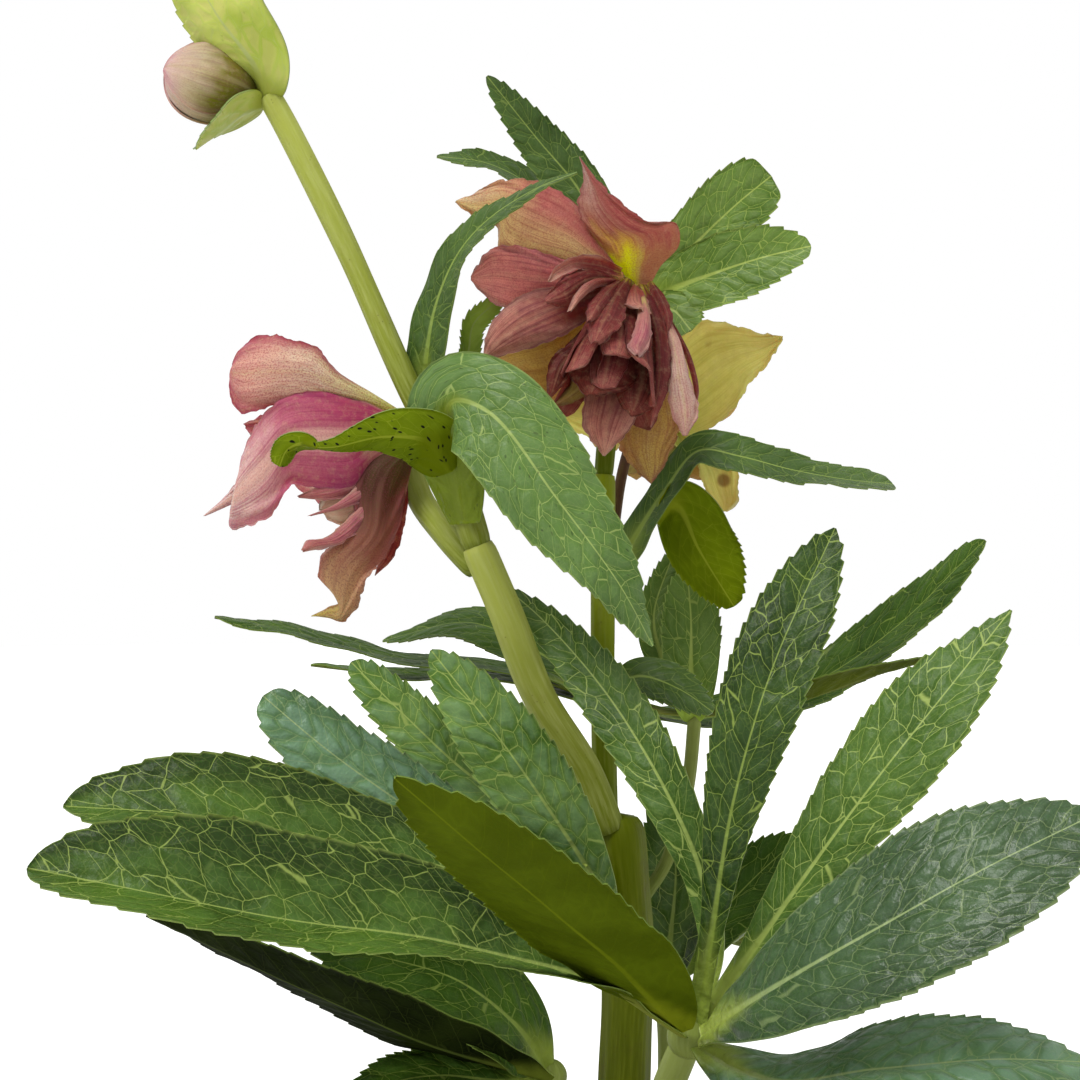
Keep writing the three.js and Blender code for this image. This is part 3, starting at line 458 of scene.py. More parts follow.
def leafFinish(name, look):
    material, tree, shader = newFinish(name)
    flat, (u, v, _), (s, t, veins), own = bladeCoordinates(tree)
    form = leafPattern
    away = maths(tree, "ABSOLUTE", u)
    drift = addNode(tree, "TexNoise", {"Vector": flat, "Scale": form["driftScale"], "Detail": 2.0})
    drifted = {0: drift.outputs["Color"], 1: form["drift"]}
    shifted = addNode(tree, "VectorMath", drifted, operation="MULTIPLY").outputs[0]
    packed = combine(tree, times(tree, u, scaled(tree, away, form["sideStretch"], 1.0)),
                     scaled(tree, away, form["netLean"], times(tree, v, form["netLength"])))
    bent = addNode(tree, "VectorMath", {0: packed, 1: shifted}, operation="ADD").outputs[0]

    # midrib, side veins, the net between them and its finest meshes
    slim = scaled(tree, maths(tree, "POWER", maths(tree, "SUBTRACT", 1.0, t), 3.0), 3.6, 0.4)
    rib = fade(tree, maths(tree, "DIVIDE", away, slim), look["midrib"] * 0.4, look["midrib"], 0.85, 0)
    shaken = scaled(tree, cloud(tree, flat, 2.0), 0.1, veins)
    sideVein = fade(tree, maths(tree, "PINGPONG", shaken, 0.5), *form["veinEdge"], look["sideVeins"], 0)
    mesh = cells(tree, bent, look["cell"], loose=0.85)
    net = fade(tree, mesh, *form["veinEdge"], look["net"], 0)
    fineMesh = cells(tree, bent, look["cell"] * form["fineCell"])
    fine = fade(tree, fineMesh, *form["fineEdge"], form["fineShare"] * look["net"], 0)
    edge = fade(tree, maths(tree, "ABSOLUTE", s), form["marginFrom"], 1.0, 0, form["marginShare"])
    drawn = rib
    for line in (sideVein, net, fine, edge):
        drawn = maths(tree, "MAXIMUM", drawn, line)

    # two greens in soft clouds, a paler bloom and painted highlight in the middle of each mesh, painted
    # shade on one side and a foot of its own
    clouds = fade(tree, cloud(tree, flat, form["bodyScale"], 3.0), 0.35, 0.65)
    body = blend(tree, clouds, tone(look["deep"]), tone(look["light"]))
    # partly painted highlight: the middle of each mesh turns the paler bloom colour, partly the leaf's
    # glaucous tone and partly light caught on its domed cells
    bloomHighlight = fade(tree, mesh, *form["bloomHighlightEdge"], 0, form["bloomHighlightShare"])
    body = blend(tree, bloomHighlight, body, tone(look["bloomHighlight"]))
    body = blend(tree, times(tree, own, form["ownShare"]), body, tone(look["light"]))
    # painted shade: one side of the blade is darkened towards its margin, as if it curved away from the
    # light
    dusk = fade(tree, scaled(tree, cloud(tree, flat, 1.2), 0.3, s), 0.5, 0.95, 0, look["dusk"])
    body = blend(tree, dusk, body, tone(look["deep"], lightShare * form["paintedShadeLevel"]))
    colour = blend(tree, drawn, body, tone(look["vein"]))
    reach = scaled(tree, cloud(tree, flat, 1.5), 0.08, scaled(tree, away, 0.25, t))
    foot = fade(tree, reach, *look["footReach"], form["footShare"], 0)
    colour = blend(tree, foot, colour, tone(look["foot"]))
    size = look["speckSize"]
    dots = fade(tree, cells(tree, bent, look["speckScale"], "F1"), 0.6 * size, size, look["specks"], 0)
    patches = fade(tree, cloud(tree, flat, 0.8), *look["speckPatches"])
    colour = blend(tree, times(tree, dots, patches), colour, tone(form["speck"]))

    gloss = scaled(tree, cloud(tree, flat, 2.5, 3.0), 0.22, look["rough"] - 0.1)
    paint(tree, shader, colour, gloss)
    grain = times(tree, cloud(tree, flat, form["grainScale"], 3.0), 0.3)
    cushion = times(tree, fade(tree, mesh, 0.0, 0.3), -0.5 * look["raised"])
    puffs = times(tree, cloud(tree, flat, form["puffScale"], 1.0), 1.2)
    bump(tree, shader, plus(tree, plus(tree, grain, puffs), cushion), look["bumps"], form["bumpDepth"])
    shader.inputs["Specular IOR Level"].default_value = look["shine"]
    glow(shader, 0.08, (0.6, 1.0, 0.2), 0.0015)
    return material


# Petal finishes. stops run from base to tip; edge colours the margins, vein the fine lines. side is a
# colour for one side and where it starts and ends; rib is the width and the share of a pale middle.
petalPlain = {
    "shine": 0.08, "cream": 0.25, "rib": (0.16, 0.15), "ribTone": "D8C48C", "footLines": 1.0,
    "freckles": 0.15, "blots": 0.0,
}
petalFinishes = {
    "chartreuseRose": {
        "stops": [(0.0, "FAFF10"), (0.24, "F8FC00"), (0.33, "E4C040"), (0.5, "C88A70"),
            (1.0, "F4DCD0")],
        "edge": "9A4450", "edgeShare": 0.5, "vein": "94343E", "lines": 0.38,
        "side": ("B4645C", -0.25, 0.5), "freckles": 0.35, "shine": 0.02, "footLines": 0.0,
    },
    "peachRose": {
        "stops": [(0.0, "BC9438"), (0.22, "C4766A"), (0.6, "D4887A"), (0.78, "F0CC90"),
            (1.0, "FFF0BC")],
        "edge": "AC5058", "edgeShare": 0.45, "vein": "9A3A48", "lines": 0.34,
        "side": ("ECD488", -0.35, 0.5), "freckles": 0.4,
    },
    "clearRose": {
        "stops": [(0.0, "D09850"), (0.3, "DC7C78"), (0.7, "F49A8C"), (1.0, "F8AC9C")],
        "edge": "D07078", "edgeShare": 0.5, "vein": "963A4C", "lines": 0.4, "freckles": 0.35,
    },
    "oliveRose": {
        "stops": [(0.0, "D0B43C"), (0.4, "F2DC5A"), (0.75, "FCE478"), (1.0, "FCC0A0")],
        "edge": "DC8C80", "edgeShare": 0.6, "vein": "9A6C34", "lines": 0.28, "freckles": 0.35,
    },
    "brownRose": {
        "stops": [(0.0, "A86450"), (0.35, "C49058"), (0.6, "CCB054"), (0.85, "D6BC60"),
            (1.0, "B07C68")],
        "edge": "AC5E54", "edgeShare": 0.55, "vein": "8A4038", "lines": 0.32, "freckles": 0.4,
    },
    "yellowOlive": {
        "stops": [(0.0, "E4F060"), (0.4, "FFFF84"), (0.75, "FFFF90"), (1.0, "FFEC8C")],
        "edge": "ECCC78", "edgeShare": 0.4, "vein": "D0D058", "lines": 0.35, "blots": 0.7,
    },
    "dustyPink": {
        "stops": [(0.0, "C8D84C"), (0.22, "F4F0A0"), (0.5, "FFE8C8"), (0.74, "F4BCA8"),
            (1.0, "B85070")],
        "edge": "A83C60", "edgeShare": 1.0, "vein": "A84A5A", "lines": 0.2, "cream": 0.5,
        "rib": (0.16, 0.5), "freckles": 0.55, "footLines": 0.2,
    },
    "magentaStreak": {
        "stops": [(0.0, "E4D09A"), (0.2, "B8486C"), (0.5, "D47C90"), (0.72, "FFDCD0"), (1.0, "FFE4DA")],
        "edge": "B84472", "edgeShare": 0.4, "vein": "A83064", "lines": 0.4, "cream": 0.4,
        "rib": (0.42, 0.85), "ribTone": "F8CCB8", "freckles": 0.3,
    },
    "brownPink": {
        "stops": [(0.0, "4E4C0C"), (0.22, "54301A"), (0.5, "986850"), (0.8, "E0BC84"), (1.0, "C4B854")],
        "edge": "B85870", "edgeShare": 0.45, "vein": "7E3C44", "lines": 0.12, "cream": 0.03,
        "rib": (0.16, 0.03), "freckles": 0.55,
    },
    "mauveHeart": {
        "stops": [(0.0, "A08C10"), (0.08, "6A1C1C"), (0.4, "70281F"), (0.8, "96443E"), (1.0, "B86C60")],
        "edge": "924844", "edgeShare": 0.4, "vein": "560F1E", "lines": 0.5, "freckles": 0.25,
        "shine": 0.1,
    },
    "duskyHeart": {
        "stops": [(0.0, "A88C20"), (0.08, "7E241C"), (0.4, "984234"), (0.8, "DC9480"), (1.0, "ECB498")],
        "edge": "DCA894", "edgeShare": 0.5, "vein": "7A2836", "lines": 0.6, "freckles": 0.2,
        "shine": 0.15,
    },
    "darkHeart": {
        "stops": [(0.0, "64241C"), (0.3, "601A18"), (0.7, "74302A"), (1.0, "94483C")],
        "edge": "66261F", "edgeShare": 0.4, "vein": "280408", "lines": 0.45, "shine": 0.1,
    },
    "oliveHeart": {
        "stops": [(0.0, "70482A"), (0.4, "A07836"), (0.8, "C0A048"), (1.0, "B88458")],
        "edge": "A45848", "edgeShare": 0.6, "vein": "7C3E28", "lines": 0.4,
    },
    "paleHeart": {
        "stops": [(0.0, "A05450"), (0.15, "E8B8A4"), (0.6, "ECCCB8"), (1.0, "E0AEA0")],
        "edge": "C07A72", "edgeShare": 0.5, "vein": "A44C56", "lines": 0.35, "cream": 0.6,
        "rib": (0.16, 0.6), "freckles": 0.35,
    },
    "pinkHeart": {
        "stops": [(0.0, "C8B860"), (0.25, "D29480"), (0.7, "CC7E80"), (1.0, "D8968A")],
        "edge": "ECC6A8", "edgeShare": 0.5, "vein": "9C3A58", "lines": 0.5,
    },
    "creamHeart": {
        "stops": [(0.0, "D8C484"), (0.5, "F2D4AE"), (1.0, "F2D6B8")],
        "edge": "DCA28E", "edgeShare": 0.5, "vein": "CC8A7C", "lines": 0.3,
    },
    "yellowHeart": {
        "stops": [(0.0, "ACA832"), (0.5, "DCCE64"), (1.0, "E0C068")],
        "edge": "D0A05C", "edgeShare": 0.4, "vein": "988A3A", "lines": 0.3,
    },
    # The dark olive at the base end of the bud's stops is partly the bud's own green and partly painted
    # shade.
    "budSkin": {
        "stops": [(0.0, "626E00"), (0.4, "8A8A10"), (0.58, "E0CCA0"), (0.8, "F4CCC0"), (1.0, "DC94A0")],
        "edge": "B46E7C", "edgeShare": 0.2, "vein": "984E66", "lines": 0.2, "cream": 0.5,
        "rib": (0.16, 0.5),
    },
}


# The pattern of all petals: scales of the streaks across and along, and where colours start and end.
petalPattern = {
    "lanes": 9.0, "streaks": (11.0, 1.3), "threads": (34.0, 3.0), "broad": (1.6, 2.6), "mottleScale": 3.5,
    "rimEdge": (0.8, 1.4), "rimRise": (0.1, 0.4), "veinRise": (0.2, 0.45), "flushEdge": (0.85, 1.25),
    "lineEdge": (0.5, 0.62), "hairShare": 0.75, "creamScale": 6.0, "creamTone": "DCC494",
    "freckleScale": 26.0, "freckleEdge": (0.48, 0.62), "blotScale": 0.9, "blotEdge": (0.1, 0.2),
    "blotTone": "6A4A22", "bumps": 0.45, "bumpDepth": 0.0005,
}


def petalFinish(name, look):
    material, tree, shader = newFinish(name)
    flat, _, (s, t, _), own = bladeCoordinates(tree)
    form = petalPattern
    lane = times(tree, own, form["lanes"])
    streaks = streak(tree, s, t, form["streaks"], lane, roughness=0.55)
    threads = streak(tree, s, t, form["threads"], lane)
    broad = streak(tree, s, t, form["broad"], lane)
    mottle = cloud(tree, flat, form["mottleScale"], 5.0, 0.65)
    away = maths(tree, "ABSOLUTE", s)
    vein = tone(look["vein"])

    # from base to tip, then the streaked side and the mottled margins
    reach = plus(tree, t, scaled(tree, broad, 0.5, -0.25))
    colour = ramp(tree, reach, look["stops"])
    if "side" in look:
        code, start, end = look["side"]
        band = fade(tree, scaled(tree, streaks, 0.4, s), start, end, 0, 0.9)
        colour = blend(tree, band, colour, tone(code))
    uneven = scaled(tree, streaks, 0.35, scaled(tree, mottle, 0.3, away))
    rise = fade(tree, t, *form["rimRise"], 0, look["edgeShare"])
    rim = times(tree, fade(tree, uneven, *form["rimEdge"]), rise)
    colour = blend(tree, rim, colour, tone(look["edge"]))

    # the fine veins: a flush of their colour, lines and hairs; footLines is how much shows at the base
    grown = fade(tree, reach, *form["veinRise"], look["footLines"], 1.0)
    flush = fade(tree, plus(tree, mottle, broad), *form["flushEdge"], 0, look["lines"] * 0.9)
    lines = times(tree, fade(tree, streaks, *form["lineEdge"]), look["lines"])
    hairs = times(tree, fade(tree, threads, *form["lineEdge"]), look["lines"] * form["hairShare"])
    for share in (flush, lines, hairs):
        colour = blend(tree, times(tree, share, grown), colour, vein)
    pale = fade(tree, cloud(tree, flat, form["creamScale"], 4.0, 0.7), 0.45, 0.8, 0, look["cream"])
    colour = blend(tree, pale, colour, tone(form["creamTone"]))
    ribWidth, ribShare = look["rib"]
    centre = fade(tree, scaled(tree, streaks, 0.3, away), 0.1, 0.15 + ribWidth, ribShare, 0)
    colour = blend(tree, centre, colour, tone(look["ribTone"]))
    dust = cloud(tree, flat, form["freckleScale"], 2.0, 0.6)
    colour = blend(tree, fade(tree, dust, *form["freckleEdge"], 0, look["freckles"]), colour, vein)
    blots = fade(tree, cells(tree, flat, form["blotScale"], "F1"), *form["blotEdge"], look["blots"], 0)
    colour = blend(tree, blots, colour, tone(form["blotTone"]))

    paint(tree, shader, colour, scaled(tree, streaks, 0.25, 0.4))
    height = plus(tree, streaks, times(tree, threads, 0.5))
    bump(tree, shader, plus(tree, height, mottle), form["bumps"], form["bumpDepth"])
    shader.inputs["Specular IOR Level"].default_value = look["shine"]
    glow(shader, 0.3, (1.0, 0.45, 0.35), 0.003)
    return material


# Stem finishes: colours from the foot to the top, streaked along the fibres. blush is a colour and its
# share.
stemFinishes = {
    "oliveStem": {"foot": "667800", "top": "A4B420", "streak": "A0AA48", "blush": ("6A5A24", 0.3)},
    "forkStem": {"foot": "808E1C", "top": "C8D060", "streak": "D0D880", "blush": ("948040", 0.15)},
    "petiole": {"foot": "7A8A34", "top": "A0AE58", "streak": "AEBA6A", "blush": ("6A6A34", 0.2)},
    "darkPedicel": {"foot": "6A5830", "top": "6E4838", "streak": "8A7848", "blush": ("4A2C2A", 0.6)},
    "sheathSkin": {"foot": "565E00", "top": "6C7A00", "streak": "8A9428", "blush": ("5E4E24", 0.35)},
}


stemPattern = {
    "fibres": (9.0, 0.7), "mottleScale": 1.4, "streakEdge": (0.35, 0.8), "streakShare": 0.6,
    "blushEdge": (0.5, 0.75), "speckScale": 6.0, "speckEdge": (0.08, 0.14), "speckShare": 0.35,
    "speck": "3A2E14", "bumps": 0.4, "bumpDepth": 0.0006,
}


def stemFinish(name, look):
    material, tree, shader = newFinish(name)
    flat, (u, v, _), (_, t, _), _ = bladeCoordinates(tree)
    form = stemPattern
    fibres = streak(tree, u, v, form["fibres"], detail=4.0)
    mottle = cloud(tree, flat, form["mottleScale"], 4.0, 0.6)
    blush, blushShare = look["blush"]
    colour = blend(tree, t, tone(look["foot"]), tone(look["top"]))
    streaked = fade(tree, fibres, *form["streakEdge"], 0, form["streakShare"])
    colour = blend(tree, streaked, colour, tone(look["streak"]))
    colour = blend(tree, fade(tree, mottle, *form["blushEdge"], 0, blushShare), colour, tone(blush))
    dots = cells(tree, flat, form["speckScale"], "F1")
    specks = fade(tree, dots, *form["speckEdge"], form["speckShare"], 0)
    patches = fade(tree, mottle, 0.5, 0.6)
    colour = blend(tree, times(tree, specks, patches), colour, tone(form["speck"]))
    paint(tree, shader, colour, scaled(tree, fibres, 0.3, 0.3))
    bump(tree, shader, fibres, form["bumps"], form["bumpDepth"])
    shader.inputs["Specular IOR Level"].default_value = 0.06
    glow(shader, 0.15, (0.8, 1.0, 0.3), 0.002)
    return material


finishes = {name: leafFinish(name, look) for name, look in leafFinishes.items()}
finishes.update({name: petalFinish(name, {**petalPlain, **look}) for name, look in petalFinishes.items()})
finishes.update({name: stemFinish(name, look) for name, look in stemFinishes.items()})
print("hellebore: plant finishes made,", len(finishes))

# How leaflets are shaped and made, unless a leaflet's own entry says otherwise. broadest is the share of
# the length where the blade is widest, stalk the width of its foot.
bladeShape = {"broadest": 0.55, "point": 0.95, "fold": 0.15, "cup": -0.1, "stalk": 2.6}
leafletMake = {
    **bladeShape, "finish": ("deepLeaf", "oliveBack"), "rows": 130, "columns": 20, "thickness": 0.7,
    "teeth": 24, "toothFrom": 0.3, "toothDepth": 0.9, "ragged": 0.0, "veinGap": 7.5, "veinLean": 1.0,
    "pucker": 0.4, "groove": 0.4, "wave": 0.8, "waveLength": 9, "sway": 0.8, "curl": 0.0,
}

# face is the way the upper side looks at the base and at the tip; finish is the upper side's, then the
# underside's.
frontLeaflets = {
    "front_leaflet_1": {
        "spine": [(17, 201.5, -40), (-4, 214, -60), (-41, 224, -84), (-79, 230, -97), (-116, 237, -103),
            (-147, 243, -102)],
        "width": 29, "broadest": 0.7, "point": 1.3, "fold": 0.42, "cup": 0.25,
        "face": ((0.1, -0.62, 0.78), (0.1, -0.62, 0.78)), "finish": ("netLeaf", "oliveBack"),
        "teeth": 30, "pucker": 0.5,
    },
    "front_leaflet_2": {
        "spine": [(17, 202.5, -35), (-9, 227.5, -40), (-32.5, 240, -46), (-55, 246, -52),
            (-79, 251.5, -58), (-109, 256.5, -64), (-138, 258.5, -66)],
        "width": 27, "broadest": 0.75, "point": 1.9, "fold": 0.25, "cup": 0.2,
        "face": ((0.1, -0.6, 0.8), (0.1, -0.6, 0.8)), "finish": ("netLeaf", "oliveBack"), "teeth": 28,
    },
    "front_leaflet_3": {
        "spine": [(17, 203, -42), (4, 216, -72), (-15, 232, -100), (-36, 250, -122), (-55, 266, -134)],
        "width": 27, "broadest": 0.5, "point": 1, "fold": 0.1, "cup": 0.0,
        "face": ((0.3, 0.85, 0.4), (0.35, 0.9, 0.25)), "finish": ("deepLeaf", "litBack"), "teeth": 26,
    },
    "front_leaflet_4": {
        "spine": [(19, 203.5, -38), (24, 221, -37), (22, 240, -36), (14, 260, -33), (-1, 285, -22),
            (-17.5, 304.5, -6), (-29, 314.5, 3)],
        "width": 13, "broadest": 0.6, "point": 1.9, "fold": 0.2, "stalk": 5,
        "face": ((-0.5, -0.8, 0.2), (-0.35, -0.7, 0.6)), "finish": ("freshLeaf", "oliveBack"),
        "teeth": 26,
    },
    "front_leaflet_5": {
        "spine": [(20, 203.5, -39), (24, 226, -50), (29.5, 260, -54), (39.5, 293, -51), (55, 328, -42)],
        "width": 18, "broadest": 0.72, "point": 2.1, "fold": 0.2, "cup": -0.05, "stalk": 5,
        "face": ((-0.2, -0.95, 0.2), (-0.25, -0.9, 0.25)), "finish": ("darkLeaf", "oliveBack"),
        "teeth": 34, "pucker": 0.5,
    },
    "front_leaflet_6": {
        "spine": [(20.5, 203, -39), (37, 226, -48), (59, 257, -55), (82.5, 287, -56), (99, 307.5, -50)],
        "width": 21.5, "broadest": 0.66, "point": 2.2, "fold": 0.2, "stalk": 5,
        "face": ((-0.45, -0.85, 0.35), (-0.35, -0.8, 0.5)), "finish": ("freshLeaf", "oliveBack"),
        "teeth": 30,
    },
    "front_leaflet_7": {
        "spine": [(21, 201, -41), (39, 213, -66), (64, 227.5, -80), (92.5, 243, -86), (121, 257, -82)],
        "width": 33, "broadest": 0.62, "point": 1.25, "cup": -0.15, "stalk": 5,
        "face": ((-0.3, -0.75, 0.6), (-0.2, -0.75, 0.65)), "finish": ("tealLeaf", "oliveBack"),
        "teeth": 30, "pucker": 0.8,
    },
    "front_leaflet_8": {
        "spine": [(20, 199, -40), (41, 190, -60), (66, 192.5, -74), (94, 195, -80), (119, 194.5, -76)],
        "width": 27, "broadest": 0.56, "point": 1.05, "cup": -0.15,
        "face": ((0, -0.6, 0.8), (0.1, -0.5, 0.85)), "finish": ("blueLeaf", "oliveBack"), "teeth": 26,
    },
}

lowLeaflets = {
    "low_leaflet_1": {
        "spine": [(-16.5, 190.5, -35), (-39, 197.5, -56), (-69, 210, -70), (-97.5, 222.5, -76),
            (-117, 231.5, -76)],
        "width": 23, "broadest": 0.52, "point": 1.1, "fold": 0.1, "cup": 0.1,
        "face": ((0, 0.5, 0.85), (0, 0.45, 0.9)), "finish": ("deepLeaf", "shadowedBack"), "teeth": 26,
        "lobe": {
            "spine": [(-17, 190, -36), (-29, 190, -47), (-44, 191, -56), (-56, 189, -62),
                (-70, 182, -66)],
            "width": 15, "point": 1.2, "face": ((-0.1, -0.7, 0.7), (0, -0.6, 0.8)),
        },
    },
    "low_leaflet_2": {
        "spine": [(-16, 192, -33), (-26, 205, -43), (-40, 215.5, -50), (-59, 221, -52),
            (-77.5, 225, -50)],
        "width": 29, "broadest": 0.5, "point": 1.1, "face": ((-0.2, -0.7, 0.7), (0, -0.5, 0.85)),
        "teeth": 22,
    },
}

sideLeaflets = {
    "side_leaflet_1": {
        "spine": [(-3, 234, -8), (-19, 240.5, -24), (-44, 253, -36), (-64.5, 267, -42), (-75, 275, -43),
            (-88, 286, -42)],
        "width": 19, "broadest": 0.64, "point": 0.8, "cup": -0.15,
        "face": ((-0.2, -0.85, 0.5), (-0.1, -0.8, 0.6)), "finish": ("blueLeaf", "oliveBack"),
        "pucker": 0.6,
    },
    "side_leaflet_2": {
        "spine": [(1, 229, -9), (-4.5, 239, -21), (-17, 258, -31), (-32, 279.5, -35),
            (-46, 297.5, -34)],
        "width": 19, "broadest": 0.6, "point": 1.3, "fold": 0.2,
        "face": ((-0.5, -0.8, 0.3), (-0.35, -0.85, 0.4)), "finish": ("paleLeaf", "oliveBack"),
        "lobe": {
            "spine": [(-6, 244.5, -24), (-15.5, 253.5, -21), (-36, 266, -24), (-52.5, 281, -26),
                (-66, 294.5, -24)],
            "width": 12.5, "broadest": 0.64, "point": 1.1, "fold": 0.2,
            "face": ((-0.3, -0.8, 0.5), (-0.1, -0.85, 0.5)),
        },
    },
}

upperLeaflets = {
    "upper_leaflet_1": {
        "spine": [(-3, 285, 19), (-24, 292, 20), (-54, 296, 18), (-79, 302, 14), (-100, 306, 8)],
        "width": 23, "fold": 0.12, "cup": -0.08, "face": ((0, -0.05, 1), (0.1, -0.12, 1)),
        "finish": ("deepLeaf", "shadowedBack"), "teeth": 26,
    },
    "upper_leaflet_2": {
        "spine": [(-3, 284, 21), (-24, 289, 30), (-49, 291, 38), (-76, 294, 44)],
        "width": 20, "fold": 0.12, "cup": -0.05, "face": ((0, -0.02, 1), (0, -0.05, 1)),
    },
    "upper_leaflet_3": {
        "spine": [(-3, 285.5, 22), (-17.5, 296, 36), (-36, 304, 50), (-58, 300, 60)],
        "width": 22, "face": ((0, -0.3, 0.95), (0, -0.35, 0.9)), "teeth": 20,
    },
    "upper_leaflet_4": {
        "spine": [(-1, 284.5, 23), (19, 280, 42), (46, 287.5, 46), (69, 303, 42), (92.5, 325, 34)],
        "width": 23, "broadest": 0.6, "fold": 0.18, "face": ((0, -0.35, 0.95), (-0.35, -0.45, 0.8)),
        "teeth": 30,
    },
    "upper_leaflet_5": {
        "spine": [(-1, 285, 19), (19, 282, 25), (44, 284.5, 22), (64, 291, 14), (80, 296, 8)],
        "width": 20, "fold": 0.12, "cup": 0.05, "face": ((0, 0.1, 1), (0.1, 0.15, 1)),
    },
    "upper_leaflet_6": {
        "spine": [(-2, 285, 24), (-1, 287.5, 52), (2, 288, 84), (5, 286.5, 112)],
        "width": 25, "face": ((0, 0.05, 1), (0, 0.2, 1)), "finish": ("netLeaf", "oliveBack"),
    },
}

rearLeaflets = {
    "rear_leaflet_1": {
        "spine": [(12.5, 215, 31), (14, 227.5, 24), (15, 245, 20), (12, 264, 20)],
        "width": 16, "broadest": 0.5, "point": 0.9, "fold": 0.45, "cup": 0,
        "face": ((-0.2, -0.95, 0.2), (-0.2, -0.95, 0.1)), "finish": ("netLeaf", "oliveBack"),
        "teeth": 18,
    },
    "rear_leaflet_2": {
        "spine": [(13, 214.5, 35), (22.5, 227.5, 42), (34, 240, 46), (46, 250.5, 44)],
        "width": 19, "point": 0.9, "fold": 0.2, "face": ((-0.2, -0.7, 0.7), (-0.2, -0.7, 0.7)),
        "teeth": 20,
    },
    "rear_leaflet_3": {
        "spine": [(13, 215, 38), (19, 224, 66), (25, 227.5, 96), (31, 224, 124)],
        "width": 26, "point": 0.9, "face": ((0.1, 0.3, 0.95), (0.1, 0.5, 0.85)),
        "finish": ("netLeaf", "oliveBack"),
    },
}


# One piece for each entry: its blade and the lobes that go with it. toothed is a lobe's share of the teeth.
def makeBlades(table, make):
    for name, shape in table.items():
        look = {**make, **shape}
        seed = seedOf(name)
        sheets = []
        lobe = shape
        while lobe:
            points = [place(point) for point in lobe["spine"]]
            margin = {**look, "toothDepth": look["toothDepth"] * lobe.get("toothed", 1.0)}
            sheets.append(growBlade(points, {**make, **lobe}, margin, seed + 31 * len(sheets)))
            lobe = lobe.get("lobe")
        settle(makeSheets(name + "_look", sheets, [finishes[f] for f in look["finish"]]), name)


for leaf in (frontLeaflets, lowLeaflets, sideLeaflets, upperLeaflets, rearLeaflets):
    makeBlades(leaf, leafletMake)
print("hellebore: leaves grown")

